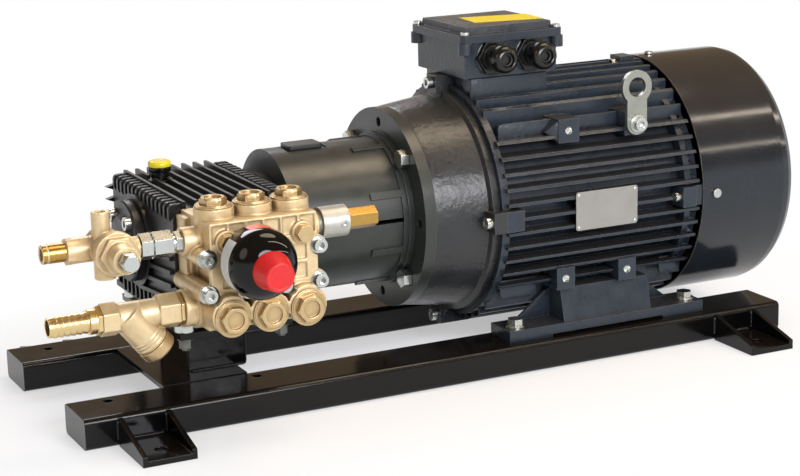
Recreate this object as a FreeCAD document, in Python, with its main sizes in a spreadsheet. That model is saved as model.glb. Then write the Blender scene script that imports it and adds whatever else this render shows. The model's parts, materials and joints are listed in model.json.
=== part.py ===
import FreeCAD, Part
import math
import os
import re
import Sketcher
from FreeCAD import Vector, Rotation, Placement

# A skid-mounted high-pressure pump: motor, bell housing, three-plunger pump, brass head, frame.
# Millimetres. X runs along the shaft towards the fan, -Y is the side with the brass head, +Z is up.
# The origin is the middle of the four frame foot holes, on the floor.

os.makedirs("parts", exist_ok=True)
doc = FreeCAD.newDocument("pump")
sheet = doc.addObject("Spreadsheet::Sheet", "P")
sizes = {}
nodes = {}
count = [0]


def keep(values):
    for name, value in values.items():
        sizes[name] = value
        row = str(len(sizes))
        sheet.set("A" + row, name)
        sheet.set("B" + row, str(value))
        sheet.setAlias("B" + row, name)


def bound(text):
    return re.sub(r"[A-Za-z]\w*", lambda m: "P." + m.group(0) if m.group(0) in sizes else m.group(0), str(text))


def worth(text):
    plain = {"cos": lambda a: math.cos(math.radians(a)), "sin": lambda a: math.sin(math.radians(a)),
             "sqrt": math.sqrt}
    tokens = re.findall(r"[A-Za-z]\w*|[\d.]+|[-+*/()]", str(text))
    return reckon(tokens, plain)


def reckon(tokens, plain):
    spot = [0]

    def peek():
        return tokens[spot[0]] if spot[0] < len(tokens) else ""

    def take():
        spot[0] += 1
        return tokens[spot[0] - 1]

    def total():
        value = product()
        while peek() in ("+", "-"):
            value = value + product() if take() == "+" else value - product()
        return value

    def product():
        value = single()
        while peek() in ("*", "/"):
            value = value * single() if take() == "*" else value / single()
        return value

    def single():
        token = take()
        if token == "-":
            return -single()
        if token == "+":
            return single()
        if token == "(":
            value = total()
            take()
            return value
        if token in plain:
            take()
            value = total()
            take()
            return plain[token](value)
        return float(sizes[token]) if token in sizes else float(token)

    return total()


def label(stem):
    count[0] += 1
    return stem + str(count[0])


def link(item, prop, text):
    item.setExpression(prop, bound(text))


turns = {"x": Rotation(), "-x": Rotation(Vector(0, 0, 1), 180), "y": Rotation(Vector(0, 0, 1), 90),
         "-y": Rotation(Vector(0, 0, 1), -90), "z": Rotation(Vector(0, 1, 0), -90),
         "-z": Rotation(Vector(0, 1, 0), 90)}
rodTurns = {"z": Rotation(), "-z": Rotation(Vector(1, 0, 0), 180), "x": Rotation(Vector(0, 1, 0), 90),
            "-x": Rotation(Vector(0, 1, 0), -90), "y": Rotation(Vector(1, 0, 0), -90),
            "-y": Rotation(Vector(1, 0, 0), 90)}


def put(item, x, y, z, turn):
    item.Placement = Placement(Vector(0, 0, 0), turn)
    link(item, "Placement.Base.x", x)
    link(item, "Placement.Base.y", y)
    link(item, "Placement.Base.z", z)
    return item


def box(x0, x1, y0, y1, z0, z1, turn=None):
    item = doc.addObject("Part::Box", label("box"))
    link(item, "Length", f"({x1}) - ({x0})")
    link(item, "Width", f"({y1}) - ({y0})")
    link(item, "Height", f"({z1}) - ({z0})")
    return put(item, x0, y0, z0, turn or Rotation())


def rod(radius, length, x, y, z, way="z"):
    item = doc.addObject("Part::Cylinder", label("rod"))
    link(item, "Radius", radius)
    link(item, "Height", length)
    return put(item, x, y, z, rodTurns[way])


def cone(first, last, length, x, y, z, way="z"):
    item = doc.addObject("Part::Cone", label("cone"))
    link(item, "Radius1", first)
    link(item, "Radius2", last)
    link(item, "Height", length)
    return put(item, x, y, z, rodTurns[way])


def hexRod(flats, length, x, y, z, way="z"):
    item = doc.addObject("Part::Prism", label("hex"))
    item.Polygon = 6
    link(item, "Circumradius", f"({flats}) / sqrt(3)")
    link(item, "Height", length)
    return put(item, x, y, z, rodTurns[way])


def ball(radius, x, y, z):
    item = doc.addObject("Part::Sphere", label("ball"))
    link(item, "Radius", radius)
    return put(item, x, y, z, Rotation())


def fuse(*items):
    item = doc.addObject("Part::MultiFuse", label("fuse"))
    item.Shapes = list(items)
    return item


def group(*items):
    item = doc.addObject("Part::Compound", label("group"))
    item.Links = list(items)
    return item


def cut(base, *tools):
    item = doc.addObject("Part::Cut", label("cut"))
    item.Base = base
    item.Tool = tools[0] if len(tools) == 1 else fuse(*tools)
    return item


def common(*items):
    item = doc.addObject("Part::MultiCommon", label("common"))
    item.Shapes = list(items)
    return item


def plane(body, role):
    return [o for o in body.Origin.OriginFeatures if o.Role == role][0]


def sketchOn(body, role, lift="0"):
    sketch = body.newObject("Sketcher::SketchObject", label("sketch"))
    sketch.AttachmentSupport = [(plane(body, role), "")]
    sketch.MapMode = "FlatFace"
    link(sketch, "AttachmentOffset.Base.z", lift)
    return sketch


def outline(sketch, corners):
    first = sketch.GeometryCount
    spots = [Vector(worth(a), worth(b), 0) for a, b in corners]
    for k, spot in enumerate(spots):
        sketch.addGeometry(Part.LineSegment(spot, spots[(k + 1) % len(spots)]), False)
    for k in range(len(spots)):
        follow = first + (k + 1) % len(spots)
        sketch.addConstraint(Sketcher.Constraint("Coincident", first + k, 2, follow, 1))
    for k, (a, b) in enumerate(corners):
        for kind, text, value, axis in (("DistanceX", a, spots[k].x, -2), ("DistanceY", b, spots[k].y, -1)):
            if abs(value) < 1e-9:
                sketch.addConstraint(Sketcher.Constraint("PointOnObject", first + k, 1, axis))
            else:
                rule = sketch.addConstraint(Sketcher.Constraint(kind, -1, 1, first + k, 1, value))
                link(sketch, f"Constraints[{rule}]", text)
    return sketch


def ring(sketch, x, y, radius):
    spot = Vector(worth(x), worth(y), 0)
    at = sketch.addGeometry(Part.Circle(spot, Vector(0, 0, 1), worth(radius)), False)
    rule = sketch.addConstraint(Sketcher.Constraint("Radius", at, worth(radius)))
    link(sketch, f"Constraints[{rule}]", radius)
    for kind, text, value, axis in (("DistanceX", x, spot.x, -2), ("DistanceY", y, spot.y, -1)):
        if abs(value) < 1e-9:
            sketch.addConstraint(Sketcher.Constraint("PointOnObject", at, 3, axis))
        else:
            rule = sketch.addConstraint(Sketcher.Constraint(kind, -1, 1, at, 3, value))
            link(sketch, f"Constraints[{rule}]", text)
    return at


def newBody(stem):
    return doc.addObject("PartDesign::Body", label(stem))


def turned(corners, x="0", y="0", z="shaftZ", way="x"):
    body = newBody("turned")
    sketch = outline(sketchOn(body, "XZ_Plane"), corners)
    item = body.newObject("PartDesign::Revolution", label("revolve"))
    item.Profile = sketch
    item.ReferenceAxis = (sketch, ["H_Axis"])
    item.Angle = 360
    body.Tip = item
    return put(body, x, y, z, turns[way])


def padded(corners, role, start, length, rings=()):
    body = newBody("plate")
    sketch = outline(sketchOn(body, role, start), corners)
    for x, y, radius in rings:
        ring(sketch, x, y, radius)
    item = body.newObject("PartDesign::Pad", label("pad"))
    item.Profile = sketch
    link(item, "Length", length)
    body.Tip = item
    return body


def refresh(body):
    sheet.recompute()
    for item in body.Group:
        item.recompute()


def rounded(body, radius, test):
    refresh(body)
    tip = body.Tip
    names = [f"Edge{k + 1}" for k, edge in enumerate(tip.Shape.Edges) if test(edge)]
    item = body.newObject("PartDesign::Fillet", label("fillet"))
    item.Base = (tip, names)
    link(item, "Radius", radius)
    body.Tip = item
    return body


def node(name, item):
    item.Label = name
    nodes[name] = item
    return item


def bolts(places, way, head, tall, shank, length, flats=True, washer=None, thick="0", socket=None):
    back = {"x": (-1, 0, 0), "-x": (1, 0, 0), "y": (0, -1, 0), "-y": (0, 1, 0), "z": (0, 0, -1),
            "-z": (0, 0, 1)}[way]
    sets = []
    for x, y, z in places:
        def spot(reach):
            return [f"({c}) + ({d} * ({reach}))" if d else str(c) for c, d in zip((x, y, z), back)]
        lift = [f"({c}) - ({d} * ({thick}))" if d else str(c) for c, d in zip((x, y, z), back)]
        top = hexRod(head, tall, *lift, way) if flats else rod(head, tall, *lift, way)
        if socket:
            floor = [f"({c}) - ({d} * ({thick} + ({tall}) * 0.45))" if d else str(c)
                     for c, d in zip((x, y, z), back)]
            top = cut(top, hexRod(socket, tall, *floor, way))
        pieces = [top, rod(shank, f"({length}) + ({thick})", *spot(length), way)]
        if washer:
            pieces.append(rod(washer, thick, x, y, z, way))
        sets.append(fuse(*pieces))
    return sets


def drills(places, way, radius, depth):
    back = {"x": (-1, 0, 0), "-x": (1, 0, 0), "y": (0, -1, 0), "-y": (0, 1, 0), "z": (0, 0, -1),
            "-z": (0, 0, 1)}[way]
    tools = []
    for x, y, z in places:
        spot = [f"({c}) + ({d} * ({depth}))" if d else str(c) for c, d in zip((x, y, z), back)]
        tools.append(rod(radius, f"({depth}) + 1", *spot, way))
    return tools


def circleSpots(x, radius, angles, y="0", z="shaftZ"):
    return [(x, f"({y}) - ({radius}) * cos({a})", f"({z}) + ({radius}) * sin({a})") for a in angles]


# Sizes shared by many pieces
mainSizes = {
    "shaftHeight": 160,
    "railHeight": 37,
    "holeGap": 0.25,
    "fitGap": 0.05,
    "pumpX": -275,
}
keep(mainSizes)
keep({"shaftZ": sizes["railHeight"] + sizes["shaftHeight"]})

# Frame rails, closed at both ends
railSizes = {
    "railLength": 958,
    "railWidth": 76,
    "railSpan": 324,
    "railWall": 4,
    "railCorner": 6,
    "railHoleR": 6,
    "railHoleX": -433,
    "railHoleStep": 186,
    "railHoleFrontY": -106,
    "railHoleRearY": 133,
    "motorX": 224,
    "footPitchX": 254,
    "footPitchY": 254,
    "footBoltR": 6,
    "frameFootX": 408,
    "frameFootHoleY": 212,
}
keep(railSizes)
motorBoltXY = [(f"motorX + {i} * footPitchX / 2", f"{j} * footPitchY / 2") for i in (-1, 1) for j in (-1, 1)]


def rail(side, holeY):
    body = newBody("rail")
    middle = f"{side} * (railSpan - railWidth) / 2"
    outer = [(f"{middle} + {a} * railWidth / 2", f"railHeight / 2 + {b} * railHeight / 2")
             for a, b in ((-1, -1), (1, -1), (1, 1), (-1, 1))]
    sketch = outline(sketchOn(body, "YZ_Plane", "-railLength / 2"), outer)
    pad = body.newObject("PartDesign::Pad", label("pad"))
    pad.Profile = sketch
    link(pad, "Length", "railLength")
    body.Tip = pad
    rounded(body, "railCorner", lambda e: abs(e.tangentAt(e.FirstParameter).x) > 0.99 and e.Length > 100)
    hollow = box("-railLength / 2 + railWall", "railLength / 2 - railWall",
                 f"{middle} - railWidth / 2 + railWall", f"{middle} + railWidth / 2 - railWall",
                 "railWall", "railHeight - railWall")
    topHoles = [rod("railHoleR", "railWall + 2", f"railHoleX + {k} * railHoleStep", holeY,
                    "railHeight - railWall - 1") for k in (0, 1)]
    bolted = [rod("footBoltR + holeGap", "railWall + 2", x, y, "railHeight - railWall - 1")
              for x, y in motorBoltXY if y.startswith(str(side))]
    return cut(body, hollow, *topHoles, *bolted)


node("front_rail", rail(-1, "railHoleFrontY"))
node("rear_rail", rail(1, "railHoleRearY"))

# Four welded foot brackets
frameFootSizes = {
    "footWidth": 64,
    "footReach": 83,
    "footPlate": 7,
    "footLip": 12,
    "cheek": 6,
    "frameFootHoleR": 7,
}
keep(frameFootSizes)


def foot(end, side):
    near = f"{side} * railSpan / 2"
    far = f"{side} * (railSpan / 2 + footReach)"
    low, high = (far, near) if side < 0 else (near, far)
    left = f"{end} * frameFootX - footWidth / 2"
    right = f"{end} * frameFootX + footWidth / 2"
    base = box(left, right, low, high, "0", "footPlate")
    shape = [(near, "footPlate"), (far, "footPlate"), (far, "footLip"), (near, "railHeight - railCorner / 2")]
    cheeks = [padded(shape, "YZ_Plane", start, "cheek") for start in (left, f"{right} - cheek")]
    hole = rod("frameFootHoleR", "footPlate + 2", f"{end} * frameFootX", f"{side} * frameFootHoleY", "-1")
    return cut(fuse(base, *cheeks), hole)


node("frame_feet", group(*[foot(end, side) for end in (-1, 1) for side in (-1, 1)]))

# Cross member and the stand under the pump
standSizes = {
    "crossX": -304.5,
    "crossWidth": 107,
    "crossPlate": 6,
    "uprightX": 75,
    "uprightY": 100,
    "standWall": 5,
    "standTopZ": 108,
    "standPlate": 8,
    "standFrontY": -122,
    "standRearY": 88,
    "standHalfX": 71,
    "pumpBoltX": 61,
    "pumpBoltFrontY": -110,
    "pumpBoltRearY": 70,
    "pumpBoltR": 6,
}
keep(standSizes)
node("cross_member", box("crossX - crossWidth / 2", "crossX + crossWidth / 2", "-railSpan / 2 + railWidth",
                         "railSpan / 2 - railWidth", "railHeight - crossPlate", "railHeight"))
pumpBoltXY = [(f"pumpX + {i} * pumpBoltX", y) for i in (-1, 1) for y in ("pumpBoltFrontY", "pumpBoltRearY")]
upright = cut(box("pumpX - uprightX / 2", "pumpX + uprightX / 2", "-uprightY / 2", "uprightY / 2",
                  "railHeight", "standTopZ - standPlate"),
              box("pumpX - uprightX / 2 + standWall", "pumpX + uprightX / 2 - standWall",
                  "-uprightY / 2 + standWall", "uprightY / 2 - standWall", "railHeight - 1",
                  "standTopZ - standPlate + 1"))
standTop = box("pumpX - standHalfX", "pumpX + standHalfX", "standFrontY", "standRearY",
               "standTopZ - standPlate", "standTopZ")
node("pump_stand", cut(fuse(upright, standTop),
                       *[rod("pumpBoltR + holeGap", "standPlate + 2", x, y, "standTopZ - standPlate - 1")
                         for x, y in pumpBoltXY]))

# Spacers and bolts under the crankcase
spacerSizes = {
    "baseZ": 119,
    "baseFlange": 7,
    "spacerR": 12.5,
    "nutFlats": 18,
    "nutTall": 10,
    "boltWasherR": 12,
    "boltWasherTall": 2.5,
}
keep(spacerSizes)
node("pump_spacers", group(*[cut(rod("spacerR", "baseZ - standTopZ", x, y, "standTopZ"),
                                 rod("pumpBoltR + holeGap", "baseZ - standTopZ + 2", x, y, "standTopZ - 1"))
                             for x, y in pumpBoltXY]))
pumpBolts = []
for x, y in pumpBoltXY:
    under = "standTopZ - standPlate - boltWasherTall"
    pumpBolts.append(fuse(hexRod("nutFlats", "8", x, y, "baseZ + baseFlange"),
                          rod("pumpBoltR", f"baseZ + baseFlange + 3 - ({under} - nutTall)", x, y,
                              f"{under} - nutTall - 3"),
                          rod("boltWasherR", "boltWasherTall", x, y, under),
                          hexRod("nutFlats", "nutTall", x, y, f"{under} - nutTall")))
node("pump_foot_bolts", group(*pumpBolts))

# Crankcase: rounded block with ribs along the top, curved fins on both shoulders, bearing bosses
caseSizes = {
    "caseHalf": 75,
    "caseFront": -128,
    "caseBack": 88,
    "caseTop": 257,
    "shoulderR": 14,
    "ribPitch": 15.1,
    "ribStart": -58.5,
    "ribThick": 4,
    "ribTop": 265,
    "finPitch": 14,
    "finThick": 5.5,
    "finSide": 2,
    "finWide": 20,
    "finLow": 241,
    "finTop": 262.5,
    "finRound": 6,
    "finCount": 15,
    "bossR": 56,
    "bossOut": 6,
    "plungerPitch": 46,
    "plugX": -308,
    "plugY": 30,
    "plugBossR": 15,
    "plugBossZ": 261,
    "plugNeckR": 9,
    "bearingR": 36,
    "bearingWide": 18,
    "pumpShaftR": 17.5,
    "plugTopZ": 284,
}
keep(caseSizes)
shoulder = "caseTop - shoulderR"
inner = "caseHalf - shoulderR"
block = rounded(padded([("pumpX - caseHalf", "baseZ + baseFlange - 1"), ("pumpX + caseHalf", "baseZ + baseFlange - 1"),
                        ("pumpX + caseHalf", "caseTop"), ("pumpX - caseHalf", "caseTop")], "XZ_Plane",
                       "-caseBack", "caseBack - caseFront"), "shoulderR",
                lambda e: abs(e.tangentAt(e.FirstParameter).y) > 0.99 and e.CenterOfMass.z > 200)
block = fuse(block, box("pumpX - caseHalf - 1", "pumpX + caseHalf + 1", "caseFront + 2", "caseBack + 4", "baseZ",
                        "baseZ + baseFlange"),
             rod("bossR", "2 * (caseHalf + bossOut)", "pumpX - caseHalf - bossOut", "0", "shaftZ", "x"),
             rod("plugBossR", "plugBossZ - caseTop + 10", "plugX", "plugY", "caseTop - 10"))


def cornerFin(side, left, right, start):
    out, back = (left, right) if side < 0 else (right, left)
    bend = [(f"{out} - {side} * finRound * (1 - sin({a}))", f"finTop - finRound * (1 - cos({a}))") for a in (90, 60, 30, 0)]
    foot = [(f"{out} - {side} * finRound * (1 - cos({a}))", f"finLow + finRound * (1 - sin({a}))") for a in (0, 45, 90)]
    return padded([(back, "finTop"), *reversed(bend), *foot, (back, "finLow")], "XZ_Plane",
                  f"-({start}) - finThick", "finThick")


shoulders = []
sides = []
for side in (-1, 1):
    low, high = (("pumpX - caseHalf - 4", "pumpX - caseHalf + 1") if side < 0 else
                 ("pumpX + caseHalf - 1", "pumpX + caseHalf + 4"))
    edges = (("pumpX - caseHalf - finSide", "pumpX - caseHalf - finSide + finWide") if side < 0 else
             ("pumpX + caseHalf + finSide - finWide", "pumpX + caseHalf + finSide"))
    for k in range(int(sizes["finCount"])):
        shoulders.append(cornerFin(side, *edges, f"caseFront + 8 + {k} * finPitch"))
    for k in range(12):
        sides.append(box(low, high, f"caseFront + 14 + {k} * ribPitch", f"caseFront + 14 + {k} * ribPitch + ribThick",
                         "baseZ + 3", "baseZ + 26"))
topRibs = [box(f"pumpX + ribStart + {k} * ribPitch - ribThick / 2", f"pumpX + ribStart + {k} * ribPitch + ribThick / 2",
               "caseFront + 5", "caseBack - 1", "caseTop - 2", "ribTop") for k in range(8)]
braceSizes = {
    "braceThick": 5,
    "braceLong": 118,
    "braceSlope": 5,
    "braceStep": 16,
}
keep(braceSizes)
for side in (-1, 1):
    low, high = (("pumpX - caseHalf - 5", "pumpX - caseHalf + 1") if side < 0 else
                 ("pumpX + caseHalf - 1", "pumpX + caseHalf + 5"))
    for k in range(4):
        sides.append(box(low, high, "caseFront + 5", "caseFront + 5 + braceLong", f"baseZ + 62 + {k - 2} * braceStep",
                         f"baseZ + 62 + {k - 2} * braceStep + braceThick",
                         Rotation(Vector(1, 0, 0), -sizes["braceSlope"])))
caseBlock = fuse(fuse(fuse(block, *shoulders), *topRibs), *sides)
bearingCoverSizes = {
    "coverBoltR": 5,
    "coverBoltPitchR": 44,
    "bearingCoverTall": 12,
}
keep(bearingCoverSizes)
coverX = "pumpX - caseHalf - bossOut - bearingCoverTall"
coverSpots = circleSpots(coverX, "coverBoltPitchR", (45, 135, 225, 315))
rearCoverSizes = {
    "backCoverTall": 9,
    "backCoverHalfX": 70,
    "backCoverLow": 134,
    "backCoverHigh": 248,
    "backBoltR": 4,
    "coverLugOut": 83,
}
keep(rearCoverSizes)
backSpots = [(f"pumpX + {i} * (backCoverHalfX - 9)", "caseBack + backCoverTall",
              f"(backCoverLow + backCoverHigh) / 2 + {j} * ((backCoverHigh - backCoverLow) / 2 - 9)")
             for i in (-1, 1) for j in (-1, 0, 1)]
headBoltSizes = {
    "headBoltX": 67.5,
    "headBoltInX": 23,
    "headBoltZ": 20.5,
    "headBoltR": 5,
    "boltSeatY": -211,
    "headBoltDeep": 20,
}
keep(headBoltSizes)
headSpots = [(f"pumpX + {i} * {a}", "boltSeatY", f"shaftZ + {j} * headBoltZ")
             for i in (-1, 1) for a in ("headBoltX", "headBoltInX") for j in (-1, 1)
             if (i, a, j) != (-1, "headBoltInX", 1)]
bores = [rod("bearingR", "bearingWide + bossOut + 1", "pumpX - caseHalf - bossOut - 1", "0", "shaftZ", "x"),
         rod("bearingR", "bearingWide + bossOut + 1", "pumpX + caseHalf - bearingWide", "0", "shaftZ", "x"),
         rod("pumpShaftR + 4", "2 * caseHalf", "pumpX - caseHalf", "0", "shaftZ", "x"),
         rod("plugNeckR + fitGap", "40", "plugX", "plugY", "plugBossZ - 24"),
         rod("plugBossR", "10", "plugX", "plugY", "plugBossZ")]
bores += drills(coverSpots, "-x", "coverBoltR + holeGap", "bearingCoverTall + 20")
bores += drills(backSpots, "y", "backBoltR + holeGap", "backCoverTall + 14")
bores += drills([(x, "caseFront", z) for x, y, z in headSpots], "-y", "headBoltR + holeGap", "headBoltDeep")
bores += [rod("pumpBoltR + holeGap", "baseFlange + 2", x, y, "baseZ - 1") for x, y in pumpBoltXY]
pockets = [box(*(("pumpX - caseHalf - 6", "pumpX - caseHalf + 28") if i < 0 else
                 ("pumpX + caseHalf - 28", "pumpX + caseHalf + 6")), f"{y} - 13", f"{y} + 13",
               "baseZ + baseFlange", "baseZ + baseFlange + 14") for i in (-1, 1)
           for y in ("pumpBoltFrontY", "pumpBoltRearY")]
node("crankcase", cut(caseBlock, *bores, *pockets))

# Crankcase rear cover
coverLugs = [padded([(f"pumpX + {i} * coverLugOut", f"backCoverHigh - 3 - {k} * 15.5"),
                     (f"pumpX + {i} * (backCoverHalfX - 2)", f"backCoverHigh + 1 - {k} * 15.5"),
                     (f"pumpX + {i} * (backCoverHalfX - 2)", f"backCoverHigh - 9 - {k} * 15.5")],
                    "XZ_Plane", "-caseBack - backCoverTall", "backCoverTall") for i in (-1, 1) for k in (0, 1)]
coverPlate = box("pumpX - backCoverHalfX", "pumpX + backCoverHalfX", "caseBack", "caseBack + backCoverTall",
                 "backCoverLow", "backCoverHigh")
node("crankcase_rear_cover", cut(fuse(coverPlate, *coverLugs),
                                 *drills(backSpots, "y", "backBoltR + holeGap", "backCoverTall + 14")))
node("rear_cover_bolts", group(*bolts(backSpots, "y", "13", "5", "backBoltR", "backCoverTall + 10")))

# Left bearing cover
node("bearing_cover", cut(turned([("0", "0"), ("0", "30"), ("-6", "34"), ("-6", "bossR - 2"), ("-8", "bossR"),
                                  ("-6 - bearingCoverTall", "bossR"), ("-6 - bearingCoverTall", "0")],
                                 x=f"{coverX} - 6", way="-x"),
                          *drills(coverSpots, "-x", "coverBoltR + holeGap", "bearingCoverTall + 20")))
node("bearing_cover_bolts", group(*bolts(coverSpots, "-x", "8", "8", "coverBoltR", "bearingCoverTall + 18",
                                         flats=False, socket="8")))

# Pump bearings and pump shaft
node("pump_bearings", group(*[turned([("0", "pumpShaftR + fitGap"), ("0", "bearingR"), ("bearingWide", "bearingR"),
                                      ("bearingWide", "pumpShaftR + fitGap")], x=at)
                              for at in ("pumpX - caseHalf", "pumpX + caseHalf - bearingWide")]))
adapterSizes = {
    "shaftStubR": 15,
    "adapterTall": 11,
    "adapterR": 62,
}
keep(adapterSizes)
adapterX = "pumpX + caseHalf + bossOut"
bellX = f"({adapterX}) + adapterTall"
node("bell_adapter", turned([("0", "shaftStubR + 2"), ("0", "adapterR"), ("adapterTall", "adapterR"),
                             ("adapterTall", "shaftStubR + 2")], x=adapterX))

# Bell housing with its motor flange
bellSizes = {
    "bellR": 91,
    "bellWall": 8,
    "bellPlate": 10,
    "motorFace": -11,
    "flangeTall": 15,
    "flangeR": 125,
    "flangeBoltR": 107.5,
    "spigotR": 90,
    "ringR": 97,
    "bellRibHigh": 3,
    "bellRibWide": 9,
    "bellHoleR": 45,
    "flangeBoltHoleR": 6.6,
    "flangeBoltShankR": 6,
}
keep(bellSizes)
bell = turned([(bellX, "bellHoleR"), (bellX, "bellR"), ("motorFace - flangeTall - 13", "bellR"),
               ("motorFace - flangeTall - 13", "bellR + 3"), ("motorFace - flangeTall - 7", "bellR + 3"),
               ("motorFace - flangeTall - 7", "ringR"), ("motorFace - flangeTall", "ringR"),
               ("motorFace - flangeTall", "flangeR"), ("motorFace", "flangeR"), ("motorFace", "spigotR"),
               ("motorFace - 6", "spigotR"), ("motorFace - 6", "bellR - bellWall"),
               (f"{bellX} + bellPlate", "bellR - bellWall"), (f"{bellX} + bellPlate", "bellHoleR")])
ribs = newBody("ribs")
ribSketch = outline(sketchOn(ribs, "XY_Plane", "bellR - 5"),
                    [("-80", "-bellRibWide / 2"), ("-36", "-bellRibWide / 2"), ("-36", "bellRibWide / 2"),
                     ("-80", "bellRibWide / 2")])
ribPad = ribs.newObject("PartDesign::Pad", label("pad"))
ribPad.Profile = ribSketch
link(ribPad, "Length", "bellRibHigh + 5")
ribs.Tip = ribPad
refresh(ribs)
ribTurn = ribs.newObject("PartDesign::PolarPattern", label("polar"))
ribTurn.Originals = [ribPad]
ribTurn.Axis = (plane(ribs, "X_Axis"), [""])
ribTurn.Angle = 360
ribTurn.Occurrences = 8
ribs.Tip = ribTurn
put(ribs, "0", "0", "shaftZ", Rotation(Vector(1, 0, 0), 22.5))
flangeSpots = circleSpots("motorFace - flangeTall", "flangeBoltR", (45, 135, 225, 315))
inspectionSizes = {
    "slotWide": 5.5,
    "slotStart": -125,
    "slotEnd": -35,
    "coverPlateX": -133,
    "coverPlateLong": 54,
    "coverPlateWide": 40,
    "coverPlateTall": 5,
}
keep(inspectionSizes)
slots = []
for side in (-1, 1):
    low, high = ("-bellR - 2", "-bellR + bellWall + 3") if side < 0 else ("bellR - bellWall - 3", "bellR + 2")
    slots.append(box("slotStart", "slotEnd - slotWide / 2", low, high, "shaftZ + 3 - slotWide / 2",
                     "shaftZ + 3 + slotWide / 2"))
    slots.append(rod("slotWide / 2", f"({high}) - ({low})", "slotEnd - slotWide / 2", low, "shaftZ + 3", "y"))
coverFlat = box("coverPlateX - coverPlateLong / 2", "coverPlateX + coverPlateLong / 2", "-coverPlateWide / 2",
                "coverPlateWide / 2", "shaftZ + bellR - 2.5", "shaftZ + bellR + 10")
adapterSpots = circleSpots(f"{bellX} + bellPlate", "bellHoleR + 9", (0, 90, 180, 270))
node("bell_housing", cut(fuse(bell, ribs), *slots, coverFlat,
                         *drills(flangeSpots, "-x", "flangeBoltHoleR", "flangeTall + 5"),
                         *[rod("12", "14", x, y, z, "-x") for x, y, z in flangeSpots]))
node("inspection_cover", rounded(padded(
    [(f"coverPlateX + {a} * coverPlateLong / 2", f"{b} * coverPlateWide / 2")
     for a, b in ((-1, -1), (1, -1), (1, 1), (-1, 1))], "XY_Plane", "shaftZ + bellR - 2.5", "coverPlateTall + 2.5"),
    "4", lambda e: abs(e.tangentAt(e.FirstParameter).z) > 0.99))
node("bell_bolts", group(*bolts(flangeSpots, "-x", "18", "8", "flangeBoltShankR", "flangeTall + 16")))

# Coupling on the two shaft ends
couplingSizes = {
    "motorShaftR": 21,
    "motorShaftEnd": -121,
    "pumpShaftEnd": -139,
    "hubR": 48,
    "hubNeckR": 34,
    "spiderX": -137,
    "spiderTall": 20,
}
keep(couplingSizes)
node("coupling_pump_hub", turned([("pumpShaftEnd - 30", "shaftStubR"), ("pumpShaftEnd - 30", "hubNeckR"),
                                  ("spiderX - 14", "hubNeckR"), ("spiderX - 14", "hubR"), ("spiderX", "hubR"),
                                  ("spiderX", "shaftStubR")]))
node("coupling_spider", turned([("spiderX", "motorShaftR + 3"), ("spiderX", "hubR - 1"),
                                ("spiderX + spiderTall", "hubR - 1"), ("spiderX + spiderTall", "motorShaftR + 3")]))
node("coupling_motor_hub", turned([("spiderX + spiderTall", "motorShaftR"), ("spiderX + spiderTall", "hubR"),
                                   ("spiderX + spiderTall + 14", "hubR"),
                                   ("spiderX + spiderTall + 14", "hubNeckR + 4"), ("-62", "hubNeckR + 4"),
                                   ("-62", "motorShaftR")]))
node("pump_shaft", turned([("pumpX - caseHalf + 1", "0"), ("pumpX - caseHalf + 1", "pumpShaftR"),
                           (adapterX, "pumpShaftR"), (adapterX, "shaftStubR"), ("pumpShaftEnd", "shaftStubR"),
                           ("pumpShaftEnd", "0")]))

# Motor: shields, finned frame, feet, shaft, rotor, stator, fan and cowl
motorSizes = {
    "shieldEnd": 68,
    "frameEnd": 345,
    "frameR": 132,
    "frameBoreR": 112,
    "finTipR": 157,
    "finStep": 18.3,
    "motorFin": 3.8,
    "tieR": 153,
    "tieBoltR": 4,
    "tieSeatR": 8.5,
    "bigBearingR": 50,
    "bigBearingWide": 25,
    "seatR": 22.5,
    "rotorR": 70,
    "coreStart": 112,
    "coreEnd": 302,
    "rotorShaftR": 26,
    "tieHeadR": 6.5,
}
keep(motorSizes)
tieSpots = circleSpots("shieldEnd - 18", "tieR", (0, 90, 180, 270))
rearTieSpots = circleSpots("frameEnd - 20", "tieR", (0, 90, 180, 270))


def lugs(start, end):
    items = []
    for angle in (0, 90, 180, 270):
        high = "13" if angle in (0, 180) else "(tieR + 10 - frameR) / 2"
        deep = "(tieR + 10 - frameR) / 2" if angle in (0, 180) else "13"
        middle = "(tieR + 10 + frameR) / 2"
        y = f"(0 - {middle} * cos({angle}))"
        z = f"(shaftZ + {middle} * sin({angle}))"
        items.append(box(start, end, f"{y} - {deep}", f"{y} + {deep}", f"{z} - {high}", f"{z} + {high}"))
    return items


shield = turned([("motorFace - 5", "24"), ("motorFace - 5", "spigotR - fitGap"), ("motorFace", "spigotR - fitGap"),
                 ("motorFace", "flangeR"), ("motorFace + 5", "133"), ("motorFace + 11", "136"),
                 ("shieldEnd - 12", "146"), ("shieldEnd - 9", "151"), ("shieldEnd", "151"),
                 ("shieldEnd", "frameBoreR + 2"), ("shieldEnd - 10", "frameBoreR"), ("motorFace + 22", "104"),
                 ("motorFace + 12", "96"), ("motorFace + 12", "64"), ("motorFace + 9 + bigBearingWide", "60"),
                 ("motorFace + 9 + bigBearingWide", "bigBearingR"), ("motorFace + 9", "bigBearingR"),
                 ("motorFace + 9", "24")])
node("drive_endshield", cut(fuse(shield, *lugs("shieldEnd - 18", "shieldEnd")),
                            *drills(tieSpots, "-x", "tieBoltR + holeGap", "60"),
                            *drills(circleSpots("motorFace", "flangeBoltR", (45, 135, 225, 315)), "-x",
                                    "flangeBoltShankR + holeGap", "17"),
                            turned([("shieldEnd - 9", "frameBoreR - 2"), ("shieldEnd - 9", "tieR - 40"),
                                    ("shieldEnd - 8", "tieR - 40"), ("shieldEnd - 8", "frameBoreR - 2")])))
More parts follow.
